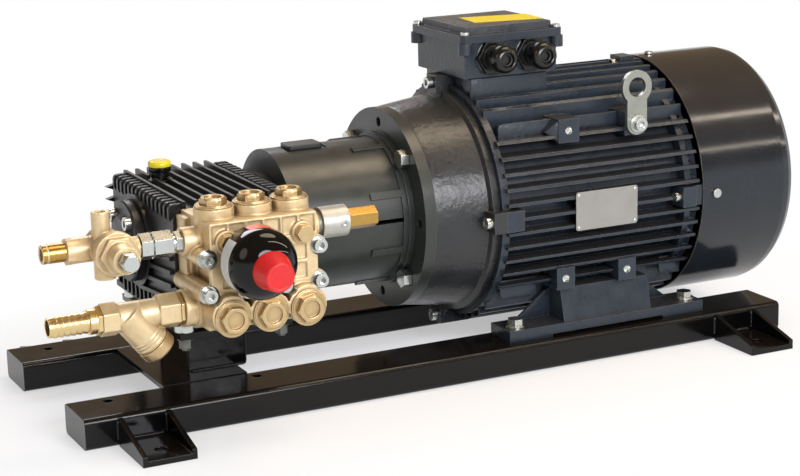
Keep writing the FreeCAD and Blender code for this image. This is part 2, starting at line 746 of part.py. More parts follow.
rearShield = turned([("frameEnd", "frameBoreR + 2"), ("frameEnd", "151"), ("frameEnd + 12", "151"),
                     ("frameEnd + 17", "130"), ("frameEnd + 22", "60"), ("frameEnd + 22", "24"),
                     ("frameEnd + 12", "24"), ("frameEnd + 12", "bigBearingR"),
                     ("frameEnd + 12 - bigBearingWide", "bigBearingR"), ("frameEnd + 12 - bigBearingWide", "60"),
                     ("frameEnd + 8", "64"), ("frameEnd + 8", "104")])
cowlSizes = {
    "cowlR": 160.5,
    "cowlWall": 2,
    "cowlStart": 357,
    "cowlEnd": 508,
    "cowlScrewX": 377,
    "cowlScrewR": 3,
    "cowlRound": 24,
}
keep(cowlSizes)
cowlLugs = []
cowlSpots = circleSpots("cowlScrewX", "cowlR", (0, 90, 180, 270))
for angle in (0, 90, 180, 270):
    half = ("(cowlR - cowlWall - 141) / 2", "10") if angle in (0, 180) else ("10", "(cowlR - cowlWall - 141) / 2")
    middle = "(cowlR - cowlWall + 141) / 2"
    y = f"(0 - {middle} * cos({angle}))"
    z = f"(shaftZ + {middle} * sin({angle}))"
    cowlLugs.append(box("frameEnd + 4", "cowlScrewX + 12", f"{y} - {half[0]}", f"{y} + {half[0]}",
                        f"{z} - {half[1]}", f"{z} + {half[1]}"))
radial = {0: "-y", 90: "z", 180: "y", 270: "-z"}
cowlDrills = []
for spot, angle in zip(cowlSpots, (0, 90, 180, 270)):
    cowlDrills += drills([spot], radial[angle], "cowlScrewR + holeGap", "14")
node("rear_endshield", cut(common(fuse(rearShield, *lugs("frameEnd", "frameEnd + 17"), *cowlLugs),
                                  rod("cowlR - cowlWall", "100", "frameEnd - 30", "0", "shaftZ", "x")),
                           *[rod("tieBoltR + holeGap", "35", x, y, z, "x") for x, y, z in rearTieSpots], *cowlDrills))

plates = [box("shieldEnd + 6", "frameEnd - 4", "-finTipR", "finTipR", f"shaftZ + {k} * finStep - motorFin / 2",
              f"shaftZ + {k} * finStep + motorFin / 2") for k in range(-5, 6)]
plates += [box("shieldEnd + 6", "frameEnd - 4", f"{k} * finStep - motorFin / 2", f"{k} * finStep + motorFin / 2",
               "shaftZ - finTipR", "shaftZ + finTipR") for k in range(-5, 6)]
finned = common(fuse(rod("frameR", "frameEnd - shieldEnd", "shieldEnd", "0", "shaftZ", "x"), *plates),
                rod("finTipR", "frameEnd - shieldEnd", "shieldEnd", "0", "shaftZ", "x"))
boxSizes = {
    "boxX": 130,
    "boxHalfX": 66,
    "boxHalfY": 64,
    "boxBottom": 361,
    "boxTop": 406,
    "padX": 164,
    "padStep": 91,
    "padLowZ": 108,
    "padHighX": 175,
    "padHighStep": 97,
    "padHighZ": 295,
    "padFace": 140,
    "padHighFace": 130,
}
keep(boxSizes)
extras = [rod("151", "10", "shieldEnd", "0", "shaftZ", "x"), rod("149", "8", "frameEnd - 8", "0", "shaftZ", "x"),
          *lugs("shieldEnd", "shieldEnd + 24"), *lugs("frameEnd - 20", "frameEnd"),
          box("boxX - 54", "boxX + 52", "-50", "50", "shaftZ + 100", "boxBottom")]
padHoles = []
for side in (-1, 1):
    for k in (0, 1):
        low, high = ("-padFace", "-100") if side < 0 else ("100", "padFace")
        extras.append(box(f"padX + {k} * padStep - 13", f"padX + {k} * padStep + 13", low, high,
                          "padLowZ - 14", "padLowZ + 14"))
        padHoles += drills([(f"padX + {k} * padStep", f"{side} * padFace", "padLowZ")], "-y" if side < 0 else "y",
                           "5", "14")
        low, high = ("-padHighFace", "-80") if side < 0 else ("80", "padHighFace")
        extras.append(box(f"padHighX + {k} * padHighStep - 15", f"padHighX + {k} * padHighStep + 15", low, high, "padHighZ - 15",
                          "padHighZ + 15"))
        padHoles += drills([(f"padHighX + {k} * padHighStep", f"{side} * padHighFace", "padHighZ")],
                           "-y" if side < 0 else "y", "5", "18")
passage = rod("22", "80", "boxX", "0", "boxBottom - 70")
frameBore = rod("frameBoreR", "frameEnd - shieldEnd + 2", "shieldEnd - 1", "0", "shaftZ", "x")
footSeats = [box("motorX - 80", "motorX + 82", low, high, "shaftZ - 120", "padLowZ - 14")
             for low, high in (("-padFace", "-96"), ("96", "padFace"))]
tieHoles = drills(tieSpots, "-x", "tieBoltR + holeGap", "18 + 22") + \
    drills(rearTieSpots, "-x", "tieBoltR + holeGap", "22") + \
    [rod("tieSeatR", "12", x, y, z, "-x") for x, y, z in rearTieSpots]
collarScrews = [(f"boxX + {i} * 44", f"{j} * 40", "boxBottom") for i in (-1, 1) for j in (-1, 1)]
node("motor_frame", cut(fuse(finned, *extras), frameBore, passage, *padHoles, *tieHoles))

# Two cast feet: a plate, a slanted web and two gussets each
motorFootSizes = {
    "footStart": 79,
    "footEnd": 368,
    "footEdgeY": 146,
    "footThick": 15,
    "webStart": 160,
    "webEnd": 290,
    "footWasherR": 13,
    "footWasherTall": 2.5,
}
keep(motorFootSizes)
motorFeet = []
for side in (-1, 1):
    low, high = ("-footEdgeY", "-96") if side < 0 else ("96", "footEdgeY")
    under = ("-footEdgeY - 1", "-95") if side < 0 else ("95", "footEdgeY + 1")
    plate = cut(box("footStart", "footEnd", low, high, "railHeight", "railHeight + footThick"),
                box("footStart + 62", "footEnd - 62", *under, "railHeight - 1", "railHeight + 3"))
    web = padded([(f"{side} * (footEdgeY - 3)", "railHeight + footThick - 3"), (f"{side} * (padFace - 8)", "padLowZ - 14"),
                  (f"{side} * 102", "padLowZ - 14"), (f"{side} * 99", "railHeight + footThick - 3")],
                 "YZ_Plane", "webStart", "webEnd - webStart")
    braces = [padded([(a, "railHeight + footThick - 3"), (b, "railHeight + footThick - 3"), (b, "padLowZ - 18")],
                     "XZ_Plane", "98" if side < 0 else "-103", "5")
              for a, b in (("webStart - 52", "webStart + 2"), ("webEnd + 52", "webEnd - 2"))]
    holes = [rod("footBoltR + holeGap", "footThick + 2", x, y, "railHeight - 1") for x, y in motorBoltXY
             if y.startswith(str(side))]
    motorFeet.append(cut(fuse(plate, web, *braces), *holes))
node("motor_feet", group(*motorFeet))
footBolts = []
for x, y in motorBoltXY:
    top = "railHeight + footThick"
    footBolts.append(fuse(rod("footWasherR", "footWasherTall", x, y, top),
                          hexRod("nutFlats", "8", x, y, f"{top} + footWasherTall"),
                          rod("footBoltR", "footThick + railWall + 14", x, y, "railHeight - railWall - 12"),
                          hexRod("nutFlats", "nutTall", x, y, "railHeight - railWall - nutTall")))
node("motor_foot_bolts", group(*footBolts))

# Tie bolts of both endshields
ties = bolts(tieSpots, "-x", "tieHeadR", "8", "tieBoltR", "18 + 20", flats=False, socket="6")
ties += bolts(rearTieSpots, "-x", "tieHeadR", "8", "tieBoltR", "34", flats=False, socket="6")
node("tie_bolts", group(*ties))

# Motor shaft, rotor, stator, bearings
rearSeat = "frameEnd + 12 - bigBearingWide"
node("motor_shaft", turned([("motorShaftEnd", "0"), ("motorShaftEnd", "motorShaftR"), ("motorFace", "motorShaftR"),
                            ("motorFace", "seatR"), ("motorFace + 9 + bigBearingWide", "seatR"),
                            ("motorFace + 9 + bigBearingWide", "rotorShaftR"), (rearSeat, "rotorShaftR"),
                            (rearSeat, "seatR"), ("frameEnd + 14", "seatR"), ("frameEnd + 14", "16"),
                            ("frameEnd + 75", "16"), ("frameEnd + 75", "0")]))
node("rotor_core", turned([("coreStart", "rotorShaftR"), ("coreStart", "rotorR"), ("coreEnd", "rotorR"),
                           ("coreEnd", "rotorShaftR")]))
node("stator_core", turned([("coreStart", "rotorR + 0.6"), ("coreStart", "frameBoreR"), ("coreEnd", "frameBoreR"),
                            ("coreEnd", "rotorR + 0.6")]))
node("motor_bearings", group(*[turned([("0", "seatR + fitGap"), ("0", "bigBearingR"), ("bigBearingWide", "bigBearingR"),
                                       ("bigBearingWide", "seatR + fitGap")], x=at)
                               for at in ("motorFace + 9", rearSeat)]))

# Cooling fan
fanSizes = {
    "fanX": 385,
    "fanWide": 34,
    "fanR": 132,
    "fanBlades": 8,
}
keep(fanSizes)
fan = newBody("fan")
fanSketch = outline(sketchOn(fan, "XZ_Plane"), [("fanX", "16"), ("fanX", "fanR - 12"), ("fanX + 4", "fanR - 12"),
                                                ("fanX + 8", "32"), ("fanX + fanWide", "26"), ("fanX + fanWide", "16")])
fanHub = fan.newObject("PartDesign::Revolution", label("revolve"))
fanHub.Profile = fanSketch
fanHub.ReferenceAxis = (fanSketch, ["H_Axis"])
fanHub.Angle = 360
fan.Tip = fanHub
bladeSketch = outline(sketchOn(fan, "XZ_Plane", "-2"), [("fanX + 1", "24"), ("fanX + 1", "fanR"),
                                                       ("fanX + fanWide - 6", "fanR"), ("fanX + fanWide", "24")])
blade = fan.newObject("PartDesign::Pad", label("pad"))
blade.Profile = bladeSketch
blade.Length = 4
fan.Tip = blade
refresh(fan)
blades = fan.newObject("PartDesign::PolarPattern", label("polar"))
blades.Originals = [blade]
blades.Axis = (plane(fan, "X_Axis"), [""])
blades.Angle = 360
fan.Tip = blades
link(blades, "Occurrences", "fanBlades")
put(fan, "0", "0", "shaftZ", Rotation())
node("cooling_fan", fan)

# Fan cowl with a grille of radial slots in its end
cowl = newBody("cowl")
bend = [(f"cowlEnd - cowlRound + cowlRound * sin({a})", f"cowlR - cowlRound + cowlRound * cos({a})")
        for a in (0, 22.5, 45, 67.5, 90)]
bendIn = [(f"cowlEnd - cowlRound + (cowlRound - cowlWall) * sin({a})",
           f"cowlR - cowlRound + (cowlRound - cowlWall) * cos({a})") for a in (90, 67.5, 45, 22.5, 0)]
cowlSketch = outline(sketchOn(cowl, "XZ_Plane"), [("cowlStart", "cowlR - cowlWall"), ("cowlStart", "cowlR"), *bend,
                                                  ("cowlEnd", "0"), ("cowlEnd - cowlWall", "0"), *bendIn])
shell = cowl.newObject("PartDesign::Revolution", label("revolve"))
shell.Profile = cowlSketch
shell.ReferenceAxis = (cowlSketch, ["H_Axis"])
shell.Angle = 360
cowl.Tip = shell
grille = outline(sketchOn(cowl, "YZ_Plane", "cowlEnd + 1"), [("-3.2", "44"), ("3.2", "44"), ("3.2", "122"),
                                                            ("-3.2", "122")])
slotCut = cowl.newObject("PartDesign::Pocket", label("pocket"))
slotCut.Profile = grille
link(slotCut, "Length", "cowlWall + 4")
cowl.Tip = slotCut
refresh(cowl)
slotRing = cowl.newObject("PartDesign::PolarPattern", label("polar"))
slotRing.Originals = [slotCut]
slotRing.Axis = (plane(cowl, "X_Axis"), [""])
slotRing.Angle = 360
cowl.Tip = slotRing
slotRing.Occurrences = 24
put(cowl, "0", "0", "shaftZ", Rotation())
node("fan_cowl", cut(cowl, *cowlDrills))
screws = []
for spot, angle in zip(cowlSpots, (0, 90, 180, 270)):
    screws += bolts([spot], radial[angle], "6", "3.4", "cowlScrewR", "12", flats=False)
node("cowl_screws", group(*screws))

# Terminal box, lid, glands
lidSizes = {
    "boxWall": 5,
    "lidHalfX": 72,
    "lidHalfY": 72,
    "lidRim": 10,
    "lidRise": 9,
    "lidScrewX": 65,
    "lidScrewY": 65,
    "glandX": 98,
    "glandStep": 55,
    "glandZ": 386,
    "glandHoleR": 14,
    "glandFlats": 40,
    "glandBodyR": 15,
}
keep(lidSizes)
lidSpots = [(f"boxX + {i} * lidScrewX", f"{j} * lidScrewY", "boxTop + lidRim") for i in (-1, 1) for j in (-1, 1)]
glandSpots = [(f"glandX + {k} * glandStep", "-boxHalfY", "glandZ") for k in (0, 1)]
ears = [rod("9", "14", x, y, "boxTop - 14") for x, y, z in lidSpots]
node("terminal_box", cut(fuse(box("boxX - boxHalfX", "boxX + boxHalfX", "-boxHalfY", "boxHalfY", "boxBottom", "boxTop"),
                              *ears),
                         box("boxX - boxHalfX + boxWall", "boxX + boxHalfX - boxWall", "-boxHalfY + boxWall",
                             "boxHalfY - boxWall", "boxBottom + boxWall", "boxTop + 1"),
                         rod("22", "20", "boxX", "0", "boxBottom - 5"),
                         *drills(glandSpots, "-y", "glandHoleR + holeGap", "boxWall + 1"),
                         *drills(lidSpots, "z", "2.5 + holeGap", "lidRim + 12")))
lidBase = rounded(padded([(f"boxX + {a} * lidHalfX", f"{b} * lidHalfY") for a, b in ((-1, -1), (1, -1), (1, 1), (-1, 1))],
                         "XY_Plane", "boxTop", "lidRim"), "8", lambda e: abs(e.tangentAt(e.FirstParameter).z) > 0.99)
raised = doc.addObject("Part::Wedge", label("wedge"))
for prop, text in (("Xmin", "0"), ("Xmax", "2 * lidHalfX - 22"), ("Zmin", "0"), ("Zmax", "2 * lidHalfY - 22"),
                   ("Ymin", "0"), ("Ymax", "lidRise"), ("X2min", "lidRise"), ("X2max", "2 * lidHalfX - 22 - lidRise"),
                   ("Z2min", "lidRise"), ("Z2max", "2 * lidHalfY - 22 - lidRise")):
    link(raised, prop, text)
put(raised, "boxX - lidHalfX + 11", "lidHalfY - 11", "boxTop + lidRim", Rotation(Vector(1, 0, 0), 90))
node("terminal_lid", cut(fuse(lidBase, raised),
                         box("boxX - boxHalfX + 10", "boxX + boxHalfX - 10", "-boxHalfY + 8", "boxHalfY - 8",
                             "boxTop - 1", "boxTop + lidRim - 2"),
                         *drills(lidSpots, "z", "2.5 + holeGap", "lidRim + 2")))
node("lid_screws", group(*bolts(lidSpots, "z", "5.5", "4", "2.5", "lidRim + 10", flats=False)))
glands = []
nutsOn = []
for x, y, z in glandSpots:
    glands.append(cut(fuse(hexRod("glandFlats", "9", x, y, z, "-y"), rod("glandBodyR", "24", x, y, z, "-y"),
                           rod("glandHoleR", "boxWall + 8", x, f"{y} + boxWall + 8", z, "-y")),
                      rod("9", "60", x, f"{y} + boxWall + 10", z, "-y")))
    dome = fuse(hexRod("glandFlats - 4", "16", x, f"{y} - 12", z, "-y"),
                cone("glandBodyR + 3", "glandBodyR - 1", "13", x, f"{y} - 28", z, "-y"))
    nutsOn.append(cut(dome, rod("glandBodyR", "13", x, f"{y} - 11", z, "-y"), rod("8", "40", x, f"{y} - 10", z, "-y")))
node("cable_glands", group(*glands))
node("gland_nuts", group(*nutsOn))

# Lifting eye plate and its bolt
eyeSizes = {
    "eyeX": 272,
    "eyeRingZ": 338,
    "eyeR": 20,
    "eyeHoleR": 11.5,
    "eyeHalf": 13.5,
    "eyeThick": 6,
}
keep(eyeSizes)
eyeBase = [rod("eyeR", "eyeThick", "eyeX", "-padHighFace", "eyeRingZ", "-y"),
           rod("eyeHalf", "eyeThick", "eyeX", "-padHighFace", "padHighZ", "-y"),
           box("eyeX - eyeHalf", "eyeX + eyeHalf", "-padHighFace - eyeThick", "-padHighFace", "padHighZ", "eyeRingZ - 8")]
node("lifting_eye", cut(fuse(*eyeBase), rod("eyeHoleR", "eyeThick + 2", "eyeX", "-padHighFace + 1", "eyeRingZ", "-y"),
                        rod("5 + holeGap", "eyeThick + 2", "eyeX", "-padHighFace + 1", "padHighZ", "-y")))
node("lifting_eye_bolt", group(*bolts([("eyeX", "-padHighFace - eyeThick", "padHighZ")], "-y", "8.5", "9", "4.7",
                                      "eyeThick + 14", flats=False, washer="11", thick="2", socket="8")))

# Rating plate on the fin tips
plateSizes = {
    "plateX": 213.5,
    "plateHalfX": 45,
    "plateHalfZ": 24.5,
    "plateThick": 1.2,
}
keep(plateSizes)
node("rating_plate", rounded(padded([(f"plateX + {a} * plateHalfX", f"shaftZ + {b} * plateHalfZ")
                                     for a, b in ((-1, -1), (1, -1), (1, 1), (-1, 1))], "XZ_Plane", "finTipR",
                                    "plateThick"), "3", lambda e: abs(e.tangentAt(e.FirstParameter).y) > 0.99))

# Brass head
headSizes = {
    "headHalf": 65,
    "headFrontY": -218,
    "headTop": 258,
    "headLow": 166,
    "backHalf": 71,
    "backTall": 26,
    "suctionZ": 153,
    "suctionY": -168,
    "suctionR": 25,
    "galleryZ": 233,
    "galleryY": -178,
    "galleryR": 16,
    "topCapY": -183,
    "topBossR": 22.5,
    "topBossZ": 270,
    "frontBossR": 23.5,
    "frontBossY": -229,
    "headPocket": 2.5,
    "headRib": 3,
}
keep(headSizes)
head = [box("pumpX - headHalf", "pumpX + headHalf", "headFrontY", "caseFront", "headLow", "headTop"),
        box("pumpX - backHalf", "pumpX + backHalf", "caseFront - backTall", "caseFront", "suctionZ", "headTop - 5"),
        rod("suctionR", "2 * backHalf", "pumpX - backHalf", "suctionY", "suctionZ", "x"),
        box("pumpX - headHalf", "pumpX + headHalf", "suctionY - 34", "suctionY + 34", "suctionZ - 22", "headLow + 2"),
        rod("galleryR", "2 * (headHalf + 20) - 6", "pumpX - headHalf - 20", "galleryY", "galleryZ", "x"),
        rod("suctionR - 3", "20", "pumpX - backHalf - 14", "suctionY", "suctionZ", "x")]
for k in (-1, 0, 1):
    at = f"pumpX + {k} * plungerPitch"
    head.append(rod("topBossR", "topBossZ - headTop + 20", at, "topCapY", "headTop - 20"))
    head.append(rod("frontBossR", "suctionY - frontBossY", at, "suctionY", "suctionZ", "-y"))
for x, y, z in headSpots:
    head.append(rod("11", "boltSeatY * -1 + caseFront", x, "caseFront", z, "-y"))
crossPlugSizes = {
    "plugSide": 46,
    "crossPlugZ": 236,
    "crossPlugY": -221,
}
keep(crossPlugSizes)
plugSpots = [(f"pumpX + {i} * plugSide", "crossPlugY", "crossPlugZ") for i in (-1, 1)]
for x, y, z in plugSpots:
    head.append(rod("13", "30", x, f"{y} + 30", z, "-y"))
damperSizes = {
    "damperX": -298,
    "damperZ": 218.5,
    "damperR": 40.5,
    "damperY": -238,
    "damperBand": 24,
    "damperNeckR": 14,
    "redR": 23,
    "redTipR": 15.8,
    "redLong": 34,
}
keep(damperSizes)
head.append(rod("18", "34", "damperX", "headFrontY + 30", "damperZ", "-y"))
faceCuts = []
for k in range(6):
    left = f"pumpX - headHalf + 3 + {k} * (2 * headHalf - 3) / 6"
    faceCuts.append(box(left, f"{left} + (2 * headHalf - 3) / 6 - headRib", "headFrontY - 1", "headFrontY + headPocket",
                        "headTop - 24", "headTop - 3"))
for i in (-1, 1):
    left = f"pumpX + {i} * 42 - 9"
    for j in (0, 1):
        faceCuts.append(box(left, f"{left} + 18", "headFrontY - 1", "headFrontY + headPocket",
                            f"headLow + 16 + {j} * 22", f"headLow + 34 + {j} * 22"))
sideCuts = []
for i in (-1, 1):
    low, high = ("pumpX - headHalf - 1", "pumpX - headHalf + 7") if i < 0 else ("pumpX + headHalf - 7",
                                                                               "pumpX + headHalf + 1")
    sideCuts.append(box(low, high, "headFrontY + 9", "caseFront - backTall - 1", "headLow + 3", "galleryZ - 20"))
capSizes = {
    "capStudR": 15,
    "capFlangeR": 20.5,
    "capFlange": 3,
    "capFlats": 31,
    "capTall": 8,
}
keep(capSizes)
capCuts = []
for k in (-1, 0, 1):
    at = f"pumpX + {k} * plungerPitch"
    capCuts.append(rod("capStudR + holeGap", "18", at, "topCapY", "topBossZ - 17"))
    capCuts.append(rod("capStudR + holeGap", "18", at, "frontBossY + 17", "suctionZ", "-y"))
capCuts += drills(headSpots, "-y", "headBoltR + holeGap", "caseFront - boltSeatY + 1")
capCuts += drills(plugSpots, "-y", "6 + holeGap", "16")
capCuts.append(rod("9 + holeGap", "20", "damperX", "headFrontY + 15", "damperZ", "-y"))
outX = "pumpX - headHalf - 20"
inX = "pumpX - backHalf - 14"
reliefX = "pumpX + headHalf + 14"
capCuts.append(rod("8 + holeGap", "17", f"{outX} + 16", "galleryY", "galleryZ", "-x"))
capCuts.append(rod("14 + holeGap", "17", f"{inX} + 16", "suctionY", "suctionZ", "-x"))
capCuts.append(rod("8 + holeGap", "17", f"{reliefX} - 16", "galleryY", "galleryZ", "x"))
seats = [rod("11", "20", x, "boltSeatY", z, "-y") for x, y, z in headSpots]
node("manifold", cut(fuse(cut(fuse(head[0], head[1]), *faceCuts, *sideCuts), *head[2:]), *capCuts, *seats))

# Valve caps: flanged hex plugs with a dish
tops = []
fronts = []
for k in (-1, 0, 1):
    at = f"pumpX + {k} * plungerPitch"
    tops.append(cut(fuse(rod("capStudR", "14", at, "topCapY", "topBossZ - 14"),
                         rod("capFlangeR", "capFlange", at, "topCapY", "topBossZ"),
                         hexRod("capFlats", "capTall", at, "topCapY", "topBossZ + capFlange")),
                    rod("11.5", "4", at, "topCapY", "topBossZ + capFlange + capTall - 2")))
    fronts.append(cut(fuse(rod("capStudR", "14", at, "frontBossY + 14", "suctionZ", "-y"),
                           rod("capFlangeR", "capFlange", at, "frontBossY", "suctionZ", "-y"),
                           hexRod("capFlats + 2", "capTall", at, "frontBossY - capFlange", "suctionZ", "-y")),
                      rod("11.5", "4", at, "frontBossY - capFlange - capTall + 2", "suctionZ", "-y")))
node("top_valve_caps", group(*tops))
node("front_valve_caps", group(*fronts))
node("head_bolts", group(*bolts(headSpots, "-y", "8", "10", "headBoltR", "caseFront - boltSeatY + headBoltDeep - 2",
                                flats=False, washer="10.5", thick="2", socket="8")))
node("gallery_plugs", group(*bolts(plugSpots, "-y", "18", "9", "6", "14", washer="10", thick="1.5")))

# Pulsation damper and its red cap
neckTop = "headFrontY - 4"
arc = [(f"damperY * -1 + damperBand + 24 * sin({a})", f"damperR - 19 + 19 * cos({a})") for a in (0, 30, 60, 90)]
node("damper_body", turned([("-headFrontY - 12", "0"), ("-headFrontY - 12", "9"), ("-headFrontY + 4", "9"),
                            ("-headFrontY + 4", "damperNeckR"), ("-damperY", "damperNeckR"), ("-damperY", "damperR - 9"),
                            ("-damperY + 3", "damperR - 3"), ("-damperY + 7", "damperR"), *arc,
                            ("-damperY + damperBand + 25", "17"), ("-damperY + damperBand + 25", "11"),
                            ("-damperY + damperBand + 36", "10"), ("-damperY + damperBand + 36", "0")],
                           x="damperX", z="damperZ", way="-y"))
redY = "-damperY + damperBand + 25"
node("damper_cap", turned([(redY, "11.3"), (redY, "redR"), (f"{redY} + 3", "redR"), (f"{redY} + redLong", "redTipR"),
                           (f"{redY} + redLong", "0"), (f"{redY} + 12", "0"), (f"{redY} + 12", "10.6")],
                          x="damperX", z="damperZ", way="-y"))

# Relief valve on the right end of the discharge gallery
reliefSizes = {
    "reliefR": 18.5,
    "reliefLong": 33,
    "reliefNeck": 5,
    "adjusterLong": 39,
    "adjusterFlats": 22,
}
keep(reliefSizes)
node("relief_body", cut(turned([("-15", "0"), ("-15", "8"), ("0", "8"), ("0", "13"), ("reliefNeck", "13"),
                                ("reliefNeck", "reliefR"), ("reliefNeck + reliefLong", "reliefR"),
                                ("reliefNeck + reliefLong", "0")], x=reliefX, y="galleryY", z="galleryZ"),
                        rod("7 + fitGap", "20", f"{reliefX} + reliefNeck + reliefLong - 16", "galleryY", "galleryZ", "x"),
                        rod("3", "8", f"{reliefX} + reliefNeck + reliefLong - 8", "galleryY - reliefR + 5",
                            "galleryZ", "-y")))
node("relief_adjuster", fuse(hexRod("adjusterFlats", "adjusterLong", f"{reliefX} + reliefNeck + reliefLong + fitGap",
                                    "galleryY", "galleryZ", "x"),
                             rod("7", "16", f"{reliefX} + reliefNeck + reliefLong - 14", "galleryY", "galleryZ", "x"),
                             cone("10", "8.5", "1.5", f"{reliefX} + reliefNeck + reliefLong + adjusterLong",
                                  "galleryY", "galleryZ", "x")))

# Outlet nipple and bypass valve on the left end of the discharge gallery
valveSizes = {
    "nippleR": 10,
    "nippleLong": 50,
    "socketLong": 30,
    "valveR": 25,
    "valveFrontY": -198,
    "valveBackY": -140,
    "armY": -155,
    "armLong": 47,
    "threadLong": 27,
    "threadR": 10.5,
}
keep(valveSizes)
valveX = f"({outX} - nippleLong - socketLong)"
node("outlet_nipple", fuse(rod("8", "14", outX, "galleryY", "galleryZ", "x"),
                           hexRod("22", "8", outX, "galleryY", "galleryZ", "-x"),
                           rod("nippleR", "nippleLong", outX, "galleryY", "galleryZ", "-x"),
                           hexRod("27", "22", f"{outX} - 12", "galleryY", "galleryZ", "-x"),
                           hexRod("27", "13", f"{outX} - 36", "galleryY", "galleryZ", "-x")))
valve = [rod("valveR - 4", "valveBackY - valveFrontY", valveX, "valveBackY", "galleryZ", "-y"),
         rod("valveR", "9", valveX, "valveFrontY + 9", "galleryZ", "-y"),
         hexRod("38", "8", valveX, "valveFrontY", "galleryZ", "-y"),
         rod("15.5", "26", valveX, "valveFrontY - 8 + 1", "galleryZ", "-y"),
         rod("13", "socketLong", valveX, "galleryY", "galleryZ", "x"),
         rod("14.5", "armLong", valveX, "armY", "galleryZ", "-x"),
         hexRod("27", "8", f"{valveX} - armLong + 8", "armY", "galleryZ", "-x"),
         rod("threadR", "threadLong", f"{valveX} - armLong", "armY", "galleryZ", "-x"),
         rod("10.5", "43", f"{valveX} - 7", "-165", "galleryZ"),
         rod("12", "30", f"{valveX} - 9", "-178", "galleryZ", "-z")]
node("bypass_valve", cut(fuse(*valve), rod("7.5", "threadLong + 20", f"{valveX} - armLong + 20", "armY", "galleryZ", "-x"),
                         rod("6", "20", f"{valveX} - 7", "-165", "galleryZ + 24"),
                         rod("nippleR + holeGap", "12", f"{outX} - nippleLong", "galleryY", "galleryZ", "-x"),
                         rod("7 + fitGap", "16", valveX, "valveFrontY - 33 + 14", "galleryZ", "-y")))
node("bypass_adjuster", fuse(rod("7", "15", valveX, "valveFrontY - 33 + 13", "galleryZ", "-y"),
                             rod("10", "16", valveX, "valveFrontY - 33 - fitGap", "galleryZ", "-y")))

# Inlet nipple, strainer, cap and hose tail
strainerSizes = {
    "bodyR": 16.5,
    "bigFlats": 36,
    "strainerRight": -365,
    "strainerLeft": -456,
    "tailCollar": -470,
    "tailEnd": -516,
    "tailR": 12.7,
    "branchX": -423,
    "branchLong": 44,
    "branchR": 20,
    "branchCapR": 20.8,
    "capLong": 15,
    "branchTurn": 51,
}
keep(strainerSizes)
node("inlet_nipple", cut(fuse(rod("14", "14", inX, "suctionY", "suctionZ", "x"),
                              hexRod("34", "4.8", inX, "suctionY", "suctionZ", "-x"),
                              rod("12", f"{inX} - strainerRight + 12", inX, "suctionY", "suctionZ", "-x")),
                         rod("9", "60", f"{inX} + 20", "suctionY", "suctionZ", "-x")))
slant = Rotation(Vector(0, 1, 0), 90 + sizes["branchTurn"])


def slantRod(radius, length, start, second=None):
    item = doc.addObject("Part::Cone" if second else "Part::Cylinder", label("slant"))
    if second:
        link(item, "Radius1", radius)
        link(item, "Radius2", second)
    else:
        link(item, "Radius", radius)
    link(item, "Height", length)
    put(item, f"branchX + ({start}) * cos(branchTurn)", "suctionY", f"suctionZ - ({start}) * sin(branchTurn)", slant)
    return item


strainer = [hexRod("bigFlats", "25", "strainerRight", "suctionY", "suctionZ", "-x"),
            rod("bodyR", "strainerRight - strainerLeft - 8", "strainerRight - 4", "suctionY", "suctionZ", "-x"),
            hexRod("bigFlats - 2", "19", "strainerLeft + 19", "suctionY", "suctionZ", "-x"),
            slantRod("branchR", "branchLong + 5", "-5")]
node("strainer_body", cut(fuse(fuse(*strainer[:3]), strainer[3]),
                          rod("11", "120", "strainerRight + 1", "suctionY", "suctionZ", "-x"),
                          rod("12 + holeGap", "13", "strainerRight + 1", "suctionY", "suctionZ", "-x"),
                          rod("12 + holeGap", "13", "strainerLeft - 1", "suctionY", "suctionZ", "x"),
                          slantRod("11 + fitGap", "branchLong + 1", "0")))
node("strainer_cap", fuse(slantRod("11", "15", "branchLong - 13"),
                          slantRod("branchCapR", "capLong - 3", "branchLong + fitGap"),
                          slantRod("branchCapR", "3", "branchLong + fitGap + capLong - 3", "branchCapR - 3")))
tailRings = [cone("tailR", "tailR - 1.4", "6.5", f"tailCollar - {2 + 7 * k}", "suctionY", "suctionZ", "-x")
             for k in range(6)]
node("hose_tail", cut(fuse(rod("12", "12", "strainerLeft", "suctionY", "suctionZ", "x"),
                           hexRod("30", "5", "strainerLeft", "suctionY", "suctionZ", "-x"),
                           rod("14.5", "strainerLeft - tailCollar", "strainerLeft", "suctionY", "suctionZ", "-x"),
                           rod("tailR - 1.3", "tailCollar - tailEnd", "tailCollar", "suctionY", "suctionZ", "-x"),
                           *tailRings),
                      rod("9", "90", "strainerLeft + 14", "suctionY", "suctionZ", "-x")))

# Oil filler plug: black neck and grip with a yellow top
node("oil_plug", turned([("-20", "0"), ("-20", "plugNeckR"), ("fitGap", "plugNeckR"), ("fitGap", "11"), ("4", "11"),
                         ("6", "13"), ("plugTopZ - plugBossZ - 4", "13.5"), ("plugTopZ - plugBossZ - 3", "14"),
                         ("plugTopZ - plugBossZ - 1", "14"), ("plugTopZ - plugBossZ", "13"),
                         ("plugTopZ - plugBossZ", "0")], x="plugX", y="plugY", z="plugBossZ", way="z"))

doc.recompute()
bad = [o.Name + " " + o.getStatusString() for o in doc.Objects if "Invalid" in o.State or "Error" in o.State]
if bad:
    raise SystemExit("objects with errors: " + ", ".join(bad))
for name, item in nodes.items():
    shape = item.Shape
    if shape.isNull() or not shape.isValid():
        raise SystemExit("bad shape: " + name)
for name, item in nodes.items():
    item.Shape.exportStep("parts/" + name + ".step")
print("nodes", len(nodes))
for name, item in nodes.items():
    room = item.Shape.BoundBox
    print(name, len(item.Shape.Solids), round(item.Shape.Volume), [round(v, 1) for v in (
        room.XMin, room.XMax, room.YMin, room.YMax, room.ZMin, room.ZMax)])
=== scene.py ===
import bpy
import bmesh
import json
import math
from mathutils import Matrix, Vector


